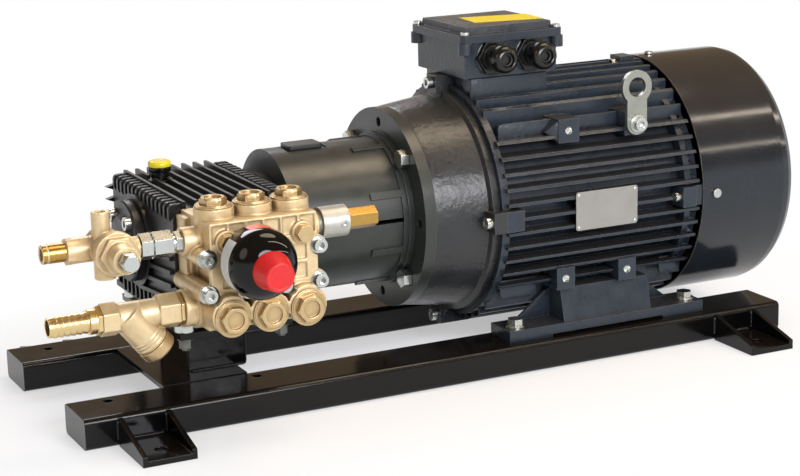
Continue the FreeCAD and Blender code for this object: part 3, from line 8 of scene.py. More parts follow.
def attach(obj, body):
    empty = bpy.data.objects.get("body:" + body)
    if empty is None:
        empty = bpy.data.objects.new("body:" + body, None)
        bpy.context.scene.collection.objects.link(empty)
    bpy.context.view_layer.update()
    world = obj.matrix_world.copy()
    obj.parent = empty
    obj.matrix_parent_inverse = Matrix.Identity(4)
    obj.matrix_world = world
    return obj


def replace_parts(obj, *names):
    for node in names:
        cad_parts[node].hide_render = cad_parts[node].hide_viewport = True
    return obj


# A skid-mounted high-pressure pump in metres, in the same frame as the solids: X along the shaft
# towards the fan, -Y the side the brass head faces, +Z up, origin amid the foot holes. The sizes of
# its pieces are written in millimetres, and those of camera, lamps and floor in metres.

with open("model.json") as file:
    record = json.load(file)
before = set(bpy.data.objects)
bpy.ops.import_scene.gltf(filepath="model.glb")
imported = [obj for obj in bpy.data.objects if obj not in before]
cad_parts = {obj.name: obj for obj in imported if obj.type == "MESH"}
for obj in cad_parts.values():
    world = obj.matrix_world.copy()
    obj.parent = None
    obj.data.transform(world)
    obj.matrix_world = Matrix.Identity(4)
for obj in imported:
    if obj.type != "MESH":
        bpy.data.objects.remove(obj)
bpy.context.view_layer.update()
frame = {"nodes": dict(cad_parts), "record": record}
nodes = frame["nodes"]
scene = bpy.context.scene
mm = 0.001
shaftZ = 197  # height of the shaft line
pumpX = -275  # middle of the pump along the shaft
up, toFront, toLeft = (0, 0, 1), (0, -1, 0), (-1, 0, 0)
sideNames = {-1: "front", 1: "rear"}
slotOf = {part["node"]: part["material_slot"] for part in frame["record"]["subparts"]}
bodyOf = {node: body for body, names in frame["record"]["behaviour"]["bodies"].items() for node in names}


# Colours and material nodes

def linear(code):
    channels = [int(code[k:k + 2], 16) / 255 for k in (0, 2, 4)]
    return (*(c / 12.92 if c <= 0.04045 else ((c + 0.055) / 1.055) ** 2.4 for c in channels), 1.0)


def addNode(tree, kind, links=None, values=None, **settings):
    node = tree.nodes.new(kind)
    for key, value in settings.items():
        setattr(node, key, value)
    for key, value in (values or {}).items():
        node.inputs[key].default_value = value
    for key, source in (links or {}).items():
        tree.links.new(source, node.inputs[key])
    return node


# One base for every finish: patchy colour and gloss, two sizes of bump, edges rounded by the shader and made
# a little lighter by a painted highlight, a warm tint on what faces up that is dust and a painted warm sheen,
# and painted shade in the corners. Patch, grain, fine and radius are real millimetres. Grit and peel finer
# than about
# 1 mm are too small for the render, so they are drawn at 1 to 6 mm, as coarse as they need to show.
def finish(name, colour, second, edge=None, dustAndSheen=None, paintedShade=None, metallic=0.0, rough=0.4, spread=0.05,
           patch=30.0, grain=2.0, grainHigh=0.1, fine=1.0, fineHigh=0.0, radius=0.6, specular=0.5):
    mat = bpy.data.materials.new(name)
    mat.use_nodes = True
    tree = mat.node_tree
    shader = tree.nodes["Principled BSDF"]
    coords = addNode(tree, "ShaderNodeTexCoord").outputs["Object"]
    patches = addNode(tree, "ShaderNodeTexNoise", {"Vector": coords},
                      {"Scale": 1000 / patch, "Detail": 5.0, "Roughness": 0.62}).outputs["Fac"]
    share = addNode(tree, "ShaderNodeMapRange", {"Value": patches}, {"From Min": 0.32, "From Max": 0.7})
    surface = addNode(tree, "ShaderNodeMix", {0: share.outputs[0]}, {6: linear(colour), 7: linear(second)},
                      data_type="RGBA").outputs[2]
    real = addNode(tree, "ShaderNodeNewGeometry").outputs["Normal"]
    rounded = addNode(tree, "ShaderNodeBevel", values={"Radius": radius * mm}, samples=4).outputs["Normal"]

    # layers over the patches: what drives each, where it starts and is full, how strong, its colour
    layers = []
    # dust and a painted warm sheen: faces that look up take a warm tint
    if dustAndSheen:
        upward = addNode(tree, "ShaderNodeSeparateXYZ", {0: real}).outputs["Z"]
        layers.append((upward, 0.3, 0.95, 0.6, dustAndSheen))
    # painted shade: corners and recesses darkened where the ambient occlusion is low
    if paintedShade:
        shadeMask = addNode(tree, "ShaderNodeAmbientOcclusion", values={"Distance": 8 * mm}, samples=6)
        layers.append((shadeMask.outputs["AO"], 0.92, 0.35, 0.8, paintedShade))
    # painted highlight: edges lighter where the shader's rounded normal turns away from the face's own
    if edge:
        highlightBend = addNode(tree, "ShaderNodeVectorMath", {0: real, 1: rounded}, operation="DOT_PRODUCT")
        layers.append((highlightBend.outputs["Value"], 0.995, 0.9, 1.0, edge))
    for driver, start, full, strength, tint in layers:
        share = addNode(tree, "ShaderNodeMapRange", {"Value": driver},
                        {"From Min": start, "From Max": full, "To Max": strength})
        surface = addNode(tree, "ShaderNodeMix", {0: share.outputs[0], 6: surface}, {7: linear(tint)},
                          data_type="RGBA").outputs[2]
    tree.links.new(surface, shader.inputs["Base Color"])
    gloss = addNode(tree, "ShaderNodeMapRange", {"Value": patches},
                    {"From Min": 0.35, "From Max": 0.65, "To Min": rough - spread, "To Max": rough + spread})
    tree.links.new(gloss.outputs[0], shader.inputs["Roughness"])
    normal = rounded
    for size, high in ((grain, grainHigh), (fine, fineHigh)):
        if high:
            bumps = addNode(tree, "ShaderNodeTexNoise", {"Vector": coords},
                            {"Scale": 1000 / size, "Detail": 2.0})
            normal = addNode(tree, "ShaderNodeBump", {"Height": bumps.outputs["Fac"], "Normal": normal},
                             {"Distance": high * mm, "Strength": 0.5}).outputs["Normal"]
    tree.links.new(normal, shader.inputs["Normal"])
    shader.inputs["Metallic"].default_value = metallic
    shader.inputs["Specular IOR Level"].default_value = specular
    return mat


# in every finish below, the edge colour is a painted highlight, the colour for upward faces is dust with a
# painted warm sheen, and the corner colour is painted shade
# one finish for each material slot of the record
looks = {
    # gloss black powder coat on steel tube: deep black, sharp but wavy reflections, faint peel
    "rail_paint": finish("glossBlackPowderCoat", "060606", "0a0908", edge="1e1a17", dustAndSheen="1a1410", rough=0.13,
                         spread=0.04, patch=60, grain=6.0, grainHigh=0.16, radius=1.2, specular=0.3),
    # satin black paint over sand-cast aluminium: soft grey sheen, fine sand grain, edges greyer by a painted
    # highlight
    "case_paint": finish("satinBlackCastAluminium", "191b1d", "202223", edge="3e3d39", dustAndSheen="35312a",
                         paintedShade="0a0a0a", rough=0.36, patch=25, grain=2.2, grainHigh=0.2, fine=0.8,
                         fineHigh=0.06, radius=0.9, specular=0.4),
    # anthracite enamel over cast iron: blue-black and satin, peel about 6 mm and sand grain about 2 mm across
    "motor_paint": finish("anthraciteEnamelCastIron", "212932", "29313a", edge="50555a", dustAndSheen="3a342d",
                          paintedShade="0c0f14", rough=0.3, patch=35, grain=6.0, grainHigh=0.9, fine=1.8,
                          fineHigh=0.2, radius=1.1, specular=0.45),
    # zinc plated steel: pale and clean, soft bright highlights
    "zinc": finish("zincPlatedSteel", "cfd2ce", "bec2c0", edge="e8e9e4", metallic=1.0, rough=0.27, patch=9,
                   grain=2.0, grainHigh=0.008, radius=0.4),
    # ground steel: even grey, lightly brushed
    "steel": finish("groundSteel", "a0a0a2", "8c8c8e", metallic=1.0, rough=0.3, patch=8, grainHigh=0.01),
    # stacked electrical steel: dull grey
    "core_steel": finish("stackedSteel", "707074", "5c5c60", metallic=1.0, rough=0.45, grainHigh=0.05),
    # bead-blasted cast brass: pale sandy tan, no clear reflections, even grit, brown painted shade in the
    # corners;
    # under its oxide skin it is less of a mirror than clean brass, so metallic is lower
    "cast_brass": finish("blastedCastBrass", "dfc99f", "cfb78c", edge="f4e6cc", paintedShade="6e5632", metallic=0.55,
                         rough=0.42, patch=12, grain=1.6, grainHigh=0.14, fine=0.8, fineHigh=0.08,
                         radius=1.0),
    # machined brass: warm yellow, clear soft highlights, a faint 2 mm bump for the finer turning marks
    "bright_brass": finish("machinedBrass", "e8cf9a", "dcc18a", edge="f4e2b8", metallic=1.0, rough=0.3,
                           patch=12, grain=2.0, grainHigh=0.012, radius=0.5),
    # gloss black stove enamel: mirror-like highlights on black
    "damper_paint": finish("glossBlackEnamel", "050506", "080808", rough=0.06, spread=0.02, patch=40,
                           grain=8.0, grainHigh=0.04, radius=0.4, specular=0.3),
    # red soft plastic: matt, rims slightly lighter by a painted highlight
    "red_plastic": finish("redSoftPlastic", "cc1a1e", "c0161a", edge="dd4040", rough=0.38, patch=10,
                          grain=0.8, grainHigh=0.02, radius=1.0),
    # black nylon: glossy moulded skin
    "black_plastic": finish("blackNylon", "0b0c0a", "11120f", edge="2c2a22", rough=0.2, patch=12, grain=3.0,
                            grainHigh=0.02, radius=0.8, specular=0.45),
    # yellow nylon: even bright colour with a soft gloss
    "oil_plastic": finish("yellowNylon", "e6d714", "dccb10", edge="f0e659", rough=0.32, patch=10,
                          grainHigh=0.02),
    # satin aluminium sheet: pale grey with a fine brushed bump
    "plate_metal": finish("satinAluminiumSheet", "979590", "8c8a85", edge="bdbbb3", metallic=0.35, rough=0.36,
                          patch=40, grain=0.8, grainHigh=0.02, radius=0.4),
    # machined cast iron: dark grey
    "hub_iron": finish("machinedCastIron", "4a4a4c", "3e3e40", metallic=0.8, rough=0.45, grainHigh=0.06),
    # cast elastomer: dull dark red
    "spider_rubber": finish("castElastomer", "8a1812", "7a140f", rough=0.55, grainHigh=0.05),
}
# finishes that single pieces wear in place of their slot's
extras = {
    # brass caps as turned, then lightly blasted: between the casting and the bright fittings
    "capBrass": finish("turnedBlastedBrass", "cfb587", "c0a478", edge="ecdcb4", paintedShade="6a5028", metallic=0.85,
                       rough=0.34, patch=12, grain=1.2, grainHigh=0.04, radius=0.8),
    # drawn brass bar: deeper yellow than the castings, soft clear highlights
    "barBrass": finish("drawnBrassBar", "bf9a54", "b28d4a", edge="ecd294", metallic=1.0, rough=0.3, patch=12,
                       grain=3.0, grainHigh=0.01, radius=0.5),
    # zinc plate gone dull outdoors: greenish grey
    "dullZinc": finish("weatheredZincPlate", "a5a79e", "94968e", edge="d0d0c8", metallic=0.9, rough=0.36,
                       patch=14, grain=3.0, grainHigh=0.01, radius=0.5),
    # anthracite enamel on smooth pressed sheet: clear long reflections of the lamps
    "cowlEnamel": finish("anthraciteEnamelSheet", "191e23", "1e2329", edge="6a665e", dustAndSheen="3a3229",
                         rough=0.15, spread=0.03, patch=60, grain=14.0, grainHigh=0.15, radius=1.2),
    # satin enamel over spun and welded steel: greenish black with a broad soft highlight
    "bellEnamel": finish("satinEnamelSteel", "282d2a", "2f3430", edge="4c5250", dustAndSheen="38362f", paintedShade="0b0d0e",
                         rough=0.33, patch=40, grain=4.0, grainHigh=0.16, radius=1.0),
    # enamel over a cast iron shield: warm grey-brown, thick orange peel that breaks up the highlights
    "shieldEnamel": finish("peeledEnamelCastIron", "222427", "2a2c2d", edge="5a574f", dustAndSheen="38342c",
                           paintedShade="0f0f10", rough=0.31, patch=35, grain=6.0, grainHigh=0.9, fine=1.8,
                           fineHigh=0.2, radius=1.1),
    # steel bolts in a darker grey that paints the shade they sit in, and browner painted shade in the corners
    "shadedSteel": finish("steelBoltPaintedShade", "7c7d79", "656662", edge="a9aaa5", paintedShade="22221f", metallic=1.0,
                        rough=0.33, patch=6, grainHigh=0.02, radius=0.5),
    # zinc die casting, tumbled: matt pale grey
    "dieCast": finish("tumbledZincCasting", "bfbfb8", "b0b0a9", edge="e4e4de", paintedShade="6a685e", metallic=0.8,
                      rough=0.46, patch=10, grain=1.4, grainHigh=0.06, radius=0.8),
    # matt silver tape: blank label on the damper
    "silverTape": finish("silverTape", "cdd0cb", "bec1bd", rough=0.5, patch=8, grain=0.7, grainHigh=0.03),
    # orange-red ink patch on the damper
    "orangeInk": finish("orangeInk", "d9512f", "cc4427", rough=0.35, patch=6, grainHigh=0.01),
    # yellow vinyl: blank strip on the lid
    "yellowVinyl": finish("yellowVinyl", "ecd30a", "e3c906", rough=0.45, patch=30, grainHigh=0.01),
    # black rubber: the glands' seals
    "blackRubber": finish("blackRubber", "080808", "0c0c0c", rough=0.5, grainHigh=0.03),
}
for name, obj in nodes.items():
    obj.data.materials.clear()
    obj.data.materials.append(extras["cowlEnamel"] if name == "fan_cowl" else looks[slotOf[name]])
print("stage materials")


# Mesh helpers, all in millimetres

def piece(name, mesh, body="unit", slot="zinc", look=None):
    obj = bpy.data.objects.new(name, mesh)
    scene.collection.objects.link(obj)
    mesh.materials.clear()
    mesh.materials.append(look or looks[slot])
    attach(obj, body)
    return obj


def toMesh(bm, name, sharp=38):
    mesh = bpy.data.meshes.new(name)
    bmesh.ops.recalc_face_normals(bm, faces=bm.faces)
    bm.to_mesh(mesh)
    bm.free()
    for face in mesh.polygons:
        face.use_smooth = True
    mesh.set_sharp_from_angle(angle=math.radians(sharp))
    return mesh


# The turn and shift, in metres, that put a shape's own Z along the way, with its foot at the place
def frameAt(place, way):
    z = Vector(way).normalized()
    x = z.orthogonal().normalized()
    if abs(z.z) < 0.9:
        x = Vector(up).cross(z).normalized()
    return Matrix.Translation(Vector(place) * mm) @ Matrix((x, z.cross(x), z)).transposed().to_4x4()


# A turned shape: profile of (distance along the axis, radius), where a third number is the width
# across the flats of a hexagon that cuts the radius back
def turned(name, profile, place, way, steps=56, sharp=38, spin=0):
    bm = bmesh.new()
    rings = []
    for along, radius, *flats in profile:
        ring = []
        for k in range(steps if radius > 1e-6 else 1):
            angle = k * math.tau / steps
            reach = radius * mm
            if flats:
                reach = min(radius, flats[0] / 2 / math.cos(angle % (math.pi / 3) - math.pi / 6)) * mm
            angle += spin
            ring.append(bm.verts.new((reach * math.cos(angle), reach * math.sin(angle), along * mm)))
        rings.append(ring)
    for a, b in zip(rings, rings[1:]):
        for k in range(steps):
            n = (k + 1) % steps
            if len(a) == 1 and len(b) > 1:
                bm.faces.new((a[0], b[k], b[n]))
            elif len(b) == 1 and len(a) > 1:
                bm.faces.new((a[k], a[n], b[0]))
            elif len(a) > 1:
                bm.faces.new((a[k], a[n], b[n], b[k]))
    bm.transform(frameAt(place, way))
    return toMesh(bm, name, sharp)


# Faces from ring to ring, each with as many points as the next, and across both ends
def joinRings(bm, rings):
    for a, b in zip(rings, rings[1:]):
        for k in range(len(a)):
            n = (k + 1) % len(a)
            bm.faces.new((a[k], a[n], b[n], b[k]))
    bm.faces.new(rings[0])
    bm.faces.new(rings[-1])


# A flat-sided solid between two outlines, its edges rounded if asked
def prism(name, near, away, rounding=0.0, segments=2, sharp=50):
    bm = bmesh.new()
    joinRings(bm, [[bm.verts.new(Vector(point) * mm) for point in outline] for outline in (near, away)])
    bmesh.ops.recalc_face_normals(bm, faces=bm.faces)
    if rounding:
        bmesh.ops.bevel(bm, geom=bm.edges[:], offset=rounding * mm, segments=segments, profile=0.5,
                        affect="EDGES")
    return toMesh(bm, name, sharp)


# A weld bead: a rippled tube along a line, ripples about 2 mm apart and both ends drawn in
def bead(name, start, end, radius=2.0, ripple=2.2, sides=10):
    bm = bmesh.new()
    start, end = Vector(start), Vector(end)
    long = (end - start).length
    count = max(int(long / (ripple / 4)), 2)
    turn = frameAt((0, 0, 0), end - start)
    angles = [k * math.tau / sides for k in range(sides)]
    rings = []
    for k in range(count + 1):
        phase = k / 4 * math.tau
        size = radius * mm * (1 + 0.09 * math.sin(phase) + 0.05 * math.sin(phase * 0.37))
        size *= min(1.0, 0.35 + 3 * min(k, count - k) / count * long / 10)
        centre = start.lerp(end, k / count) * mm
        rings.append([bm.verts.new(centre + turn @ Vector((size * math.cos(a), size * math.sin(a), 0)))
                      for a in angles])
    joinRings(bm, rings)
    return toMesh(bm, name, 180)


# A blank mesh with turned shapes taken out of it
def cutAway(bm, cutters):
    blank = bpy.data.objects.new("blank", toMesh(bm, "blank"))
    tools = [bpy.data.objects.new("tool", cutter) for cutter in cutters]
    for obj in (blank, *tools):
        scene.collection.objects.link(obj)
    for tool in tools:
        cut = blank.modifiers.new("hole", "BOOLEAN")
        cut.operation = "DIFFERENCE"
        cut.solver = "EXACT"
        cut.object = tool
    mesh = bpy.data.meshes.new_from_object(blank.evaluated_get(bpy.context.evaluated_depsgraph_get()))
    for obj in (blank, *tools):
        bpy.data.objects.remove(obj)
    bm = bmesh.new()
    bm.from_mesh(mesh)
    return bm


# A solid with real rounded edges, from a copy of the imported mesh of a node, reshaped and cut first if asked
def edged(node, width, look=None, shape=None, cutters=(), corner=28, flat=0.7):
    bm = bmesh.new()
    bm.from_mesh(nodes[node].data)
    if shape:
        for v in bm.verts:
            v.co = shape(v.co / mm) * mm
    bmesh.ops.remove_doubles(bm, verts=bm.verts, dist=2e-6)
    if cutters:
        bm = cutAway(bm, cutters)
    bmesh.ops.dissolve_limit(bm, angle_limit=math.radians(flat), verts=bm.verts, edges=bm.edges)
    corners = [e for e in bm.edges if len(e.link_faces) == 2 and e.calc_face_angle(0) > math.radians(corner)]
    bmesh.ops.bevel(bm, geom=corners, offset=width * mm, offset_type="OFFSET", segments=2, profile=0.5,
                    affect="EDGES", clamp_overlap=True)
    obj = piece(node + "_edged", toMesh(bm, node + "Edged", 50), bodyOf[node], slotOf[node], look)
    even = obj.modifiers.new("even", "WEIGHTED_NORMAL")
    even.keep_sharp = True
    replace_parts(obj, node)


# A casting: the node's mesh and added lumps flow together, with soft inner and outer corners
def casting(node, voxel, passes, lumps=()):
    bm = bmesh.new()
    bm.from_mesh(nodes[node].data)
    for lump in lumps:
        bm.from_mesh(lump)
    mesh = bpy.data.meshes.new(node + "Cast")
    bm.to_mesh(mesh)
    bm.free()
    obj = piece(node + "_cast", mesh, bodyOf[node], slotOf[node])
    skin = obj.modifiers.new("skin", "REMESH")
    skin.mode = "VOXEL"
    skin.voxel_size = voxel * mm
    skin.use_smooth_shade = True
    soft = obj.modifiers.new("soft", "SMOOTH")
    soft.factor = 0.5
    soft.iterations = passes
    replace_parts(obj, node)


# Changes of shape: scaled and nearShaft take and give a point in mm, change and radiusAt give a radius

def scaled(v, centre, factors):
    return Vector([c + (a - c) * f for a, c, f in zip(v, centre, factors)])


def nearShaft(v, change):
    r = math.hypot(v.y, v.z - shaftZ)
    factor = change(v.x, r) / r if r > 1 else 1
    return scaled(v, (0, 0, shaftZ), (1, factor, factor))


def radiusAt(points, x):
    for (x0, r0), (x1, r1) in zip(points, points[1:]):
        if x <= x1:
            return r0 + (r1 - r0) * (x - x0) / (x1 - x0)
    return points[-1][1]


# Fasteners, plugs, caps and machined parts get real rounded edges, widths in mm

edges = {"motor_foot_bolts": 0.8, "lid_screws": 0.5, "cowl_screws": 0.6, "rear_cover_bolts": 0.5,
         "head_bolts": 0.6, "lifting_eye_bolt": 0.6, "outlet_nipple": 1.5, "inlet_nipple": 0.7,
         "hose_tail": 0.5, "pump_spacers": 0.4, "terminal_lid": 1.6, "terminal_box": 1.4,
         "rating_plate": 0.3, "frame_feet": 1.0, "pump_stand": 1.2, "motor_feet": 1.6,
         "front_rail": 2.2, "rear_rail": 2.2}
for name, width in edges.items():
    edged(name, width)

# foot bolts of the pump, drawn slimmer about their own axes, in the darker steel that paints their shade
footBolts = {"edge": 0.6, "halfPitch": 61, "front": -110, "middle": -20, "rear": 70, "slim": 0.78}


def slimBolt(v):
    x = pumpX + math.copysign(footBolts["halfPitch"], v.x - pumpX)
    y = footBolts["front"] if v.y < footBolts["middle"] else footBolts["rear"]
    return scaled(v, (x, y, 0), (footBolts["slim"], footBolts["slim"], 1))


edged("pump_foot_bolts", footBolts["edge"], extras["shadedSteel"], slimBolt)

# parts with a finish of their own
ownFinish = {"relief_body": (2.2, "dieCast"), "strainer_cap": (0.9, "capBrass"),
             "relief_adjuster": (0.9, "barBrass"), "gallery_plugs": (0.7, "capBrass")}
for name, (width, look) in ownFinish.items():
    edged(name, width, extras[look])

# End shields, slimmer than the solids behind the flange, with a lower ring at the frame: the old and the
# new skin as (distance along the shaft, radius)

shield = {"edge": 1.0, "rearEdge": 0.8, "old": [(-11, 125), (-6, 133), (0, 136), (56, 146)],
          "new": [(-11, 127.4), (-6, 128.6), (0, 129.4), (56, 137)], "skinEnd": 56.5,
          "ringFrom": 55, "ringOld": 151, "ringNew": 143.5, "near": 0.4}


def slimRing(x, r):
    return shield["ringNew"] if abs(r - shield["ringOld"]) < shield["near"] else r


def slimSkin(x, r):
    if x < shield["skinEnd"] and abs(r - radiusAt(shield["old"], x)) < shield["near"]:
        return radiusAt(shield["new"], x)
    return slimRing(x, r) if x > shield["ringFrom"] else r


edged("drive_endshield", shield["edge"], extras["shieldEnamel"], lambda v: nearShaft(v, slimSkin))
edged("rear_endshield", shield["rearEdge"], shape=lambda v: nearShaft(v, slimRing))

# bearing cover a little smaller, its bolts moved in with it
bearingCover = {"edge": 1.0, "from": 40, "size": 0.88, "boltEdge": 0.6, "boltsIn": 4}
edged("bearing_cover", bearingCover["edge"], shape=lambda v: nearShaft(
    v, lambda x, r: r * bearingCover["size"] if r > bearingCover["from"] else r))
edged("bearing_cover_bolts", bearingCover["boltEdge"], shape=lambda v: v - Vector((
    0, math.copysign(bearingCover["boltsIn"], v.y), math.copysign(bearingCover["boltsIn"], v.z - shaftZ))))

# lifting eye a little larger, cable glands a little further along
eye = {"edge": 0.8, "centre": (272, 0, 295), "size": (1.08, 1, 1.08)}
edged("lifting_eye", eye["edge"], extras["dullZinc"], lambda v: scaled(v, eye["centre"], eye["size"]))
glands = {"edge": 0.8, "shift": (4.5, 0, 0)}
edged("cable_glands", glands["edge"], shape=lambda v: v + Vector(glands["shift"]))

# tie bolt heads a little larger, each about its own axis
tieBolts = {"edge": 0.5, "axes": [(0, 350), (0, 44), (-153, 197), (153, 197)], "headEnd": 50.2,
            "wider": 1.16}


def tieHead(v):
    y, z = min(tieBolts["axes"], key=lambda axis: math.hypot(v.y - axis[0], v.z - axis[1]))
    factor = tieBolts["wider"] if v.x < tieBolts["headEnd"] else 1
    return scaled(v, (0, y, z), (1, factor, factor))


edged("tie_bolts", tieBolts["edge"], shape=tieHead)

# adjuster of the bypass valve: a hexagon head on a round stem
adjuster = {"place": (-440, 0, 233),
            "profile": [(218, 0), (218, 7.5), (232.6, 7.5), (232.8, 10.9, 19.0), (244.2, 10.9, 19.0),
                        (246.3, 9.3, 18.4), (246.9, 8.4), (246.9, 0)]}
adjusterMesh = turned("adjusterMesh", adjuster["profile"], adjuster["place"], toFront, 72, 30)
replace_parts(piece("bypass_adjuster_head", adjusterMesh, bodyOf["bypass_adjuster"]), "bypass_adjuster")

# bell bolts: heads drawn a little larger and taller, each about its own axis
bellBolts = {"edge": 0.8, "radius": 107.5, "face": -26, "head": 8, "wider": 1.12, "taller": 3.5}


def bellHead(v):
    if v.x > bellBolts["face"] + 0.5:
        return v
    quarter = math.floor(math.atan2(v.z - shaftZ, v.y) / (math.pi / 2))
    angle = (quarter + 0.5) * math.pi / 2
    centre = (0, bellBolts["radius"] * math.cos(angle), shaftZ + bellBolts["radius"] * math.sin(angle))
    further = bellBolts["taller"] * (bellBolts["face"] - v.x) / bellBolts["head"]
    return scaled(v, centre, (1, bellBolts["wider"], bellBolts["wider"])) - Vector((further, 0, 0))


edged("bell_bolts", bellBolts["edge"], shape=bellHead)

# bell: satin enamel, a wider flange with its four unused holes, and a smaller hand-hole plate
bell = {"edge": 0.7, "face": -26, "flangeFrom": 124, "flange": 127.4, "holeRadius": 6.2, "holePitch": 110,
        "holeDeep": 9, "over": 2}
holeProfile = [(0, 0), (0, bell["holeRadius"]), (bell["holeDeep"] + bell["over"], bell["holeRadius"]),
               (bell["holeDeep"] + bell["over"], 0)]
holes = []
for k in range(4):
    angle = k * math.pi / 2
    holePlace = (bell["face"] - bell["over"], bell["holePitch"] * math.cos(angle),
                 shaftZ + bell["holePitch"] * math.sin(angle))
    holes.append(turned("hole", holeProfile, holePlace, (1, 0, 0), 32))
edged("bell_housing", bell["edge"], extras["bellEnamel"], lambda v: nearShaft(
    v, lambda x, r: bell["flange"] if r > bell["flangeFrom"] else r), holes)
coverPlate = {"edge": 1.2, "centre": (-133, 0, 285.5), "size": (0.82, 0.74, 0.9)}
edged("inspection_cover", coverPlate["edge"], extras["bellEnamel"],
      lambda v: scaled(v, coverPlate["centre"], coverPlate["size"]))

# Valve caps: stepped flange, hexagon with a turned chamfer and a dished face

caps = {"pitch": 46, "flange": 21.4, "steps": 72, "sharp": 30,
        "top": {"spot": (-183, 270), "way": up, "flats": 27.5, "turn": 0},
        "front": {"spot": (-229, 150), "way": toFront, "flats": 29.5, "turn": 8}}


def capProfile(flats):  # height over the seat, radius and, on the hexagon, the flats
    rim = caps["flange"]
    corner = flats / math.sqrt(3) + 0.1
    return [(-13, 0), (-13, 14.9), (-0.2, 14.9),
            (-0.2, rim - 0.6), (0.4, rim), (1.7, rim), (2.2, rim - 0.5), (2.3, rim - 1.5),
            (3.2, rim - 1.7), (3.5, rim - 2.1), (3.6, rim - 3.0),
            (3.6, corner, flats), (9.2, corner, flats), (11, flats / 2 - 0.4, flats),
            (11, 10.6), (10.4, 10.1), (8.4, 9.8), (8.0, 9.2), (8.0, 0)]


for k in (-1, 0, 1):
    for where in ("top", "front"):
        cap = caps[where]
        capMesh = turned(where + "Cap", capProfile(cap["flats"]), (pumpX + k * caps["pitch"], *cap["spot"]),
                         cap["way"], caps["steps"], caps["sharp"], math.radians(cap["turn"] * k))
        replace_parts(piece(f"{where}_cap_{k + 2}", capMesh, "unit", "bright_brass", extras["capBrass"]),
                    where + "_valve_caps")

# set screw in the relief collar, with a hexagon socket
setScrew = {"place": (-165.5, -178, 233),
            "profile": [(9, 0), (9, 4.3), (18.6, 4.3), (19.2, 3.7), (19.2, 2.4, 4.6), (17.2, 2.3, 4.4),
                        (17.2, 0)]}
piece("relief_set_screw", turned("setScrew", setScrew["profile"], setScrew["place"], toFront, 48, 30))

# turned outlet end of the bypass valve, with one groove near its mouth
stub = {"start": (-487, -155, 233), "radius": 10.8, "bore": 7.4}
outer, bore = stub["radius"], stub["bore"]
stubProfile = [(0.5, outer - 0.5), (0.5, outer), (19.6, outer), (20.2, outer - 0.6), (21.4, outer - 0.6),
               (22, outer), (26, outer), (26.8, outer - 1), (26.8, bore + 0.8), (20, bore), (0.5, bore)]
piece("bypass_outlet_end", turned("outletEnd", stubProfile, stub["start"], toLeft, sharp=30), "unit",
      "bright_brass", extras["barBrass"])
print("stage fasteners")

# Brass castings: size of the voxels and passes of smoothing, and three rings around the strainer's branch

castings = {"strainer_body": (0.8, 3), "bypass_valve": (0.7, 3), "manifold": (0.9, 4)}
strainer = {"lean": 51, "centre": (-423, -168, 153), "rings": (31.5, 36.0, 40.5), "radius": 19.6,
            "high": 1.6}
branch = (math.cos(math.radians(strainer["lean"])), 0, -math.sin(math.radians(strainer["lean"])))
outer = strainer["radius"]
ringProfile = [(-1.5, outer - 1.5), (-1.5, outer), (0, outer + strainer["high"]), (1.5, outer),
               (1.5, outer - 1.5), (-1.5, outer - 1.5)]
rings = [turned("ring", ringProfile, [c + b * along for c, b in zip(strainer["centre"], branch)], branch)
         for along in strainer["rings"]]
for name, (voxel, passes) in castings.items():
    casting(name, voxel, passes, rings if name == "strainer_body" else ())
print("stage castings")

# Motor frame: the fins run on over the rear shield to the cowl, as in the photo

frameFins = {"from": 340.5, "to": 341.5, "add": 13.5}
bm = bmesh.new()
bm.from_mesh(nodes["motor_frame"].data)
for v in bm.verts:
    if frameFins["from"] < v.co.x / mm < frameFins["to"]:
        v.co.x += frameFins["add"] * mm
finned = piece("motor_frame_finned", toMesh(bm, "motorFrameFinned", 35), slot="motor_paint")
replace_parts(finned, "motor_frame")

# plates beside the upper and lower pads, one corner cut; spans are x from and to, z from and to
sidePlates = {"y": 109.8, "thick": 4.4, "corner": 6, "edge": 0.9,
              "spans": [(84, 354, 284, 309), (84, 136, 85, 109), (322, 354, 85, 109)]}
for side, sideName in sideNames.items():
    middle, half, cut = side * sidePlates["y"], sidePlates["thick"] / 2, sidePlates["corner"]
    for k, (x0, x1, z0, z1) in enumerate(sidePlates["spans"]):
        outline = [(x0, z0), (x1, z0), (x1, z1), (x0 + cut, z1), (x0 + cut * 0.3, z1 - cut * 0.3),
                   (x0, z1 - cut)]
        if z1 < shaftZ:
            outline = [(x, z0 + z1 - z) for x, z in outline]
        near, away = ([(x, y, z) for x, z in outline] for y in (middle - half, middle + half))
        plate = prism("sidePlate", near, away, sidePlates["edge"])
        piece(f"side_plate_{sideName}_{k}", plate, slot="motor_paint")

# the deeper neck under the terminal box
neck = {"outline": [(74, -61), (184, -61), (184, 61), (74, 61)], "low": 322, "high": 360.6, "edge": 2.5}
near, away = ([(x, y, z) for x, y in neck["outline"]] for z in (neck["low"], neck["high"]))
piece("box_neck", prism("boxNeck", near, away, neck["edge"], 3, 60), slot="motor_paint")

# Tapped pads: bright screw ends in the holes, and a pointed buttress beside the first upper pad

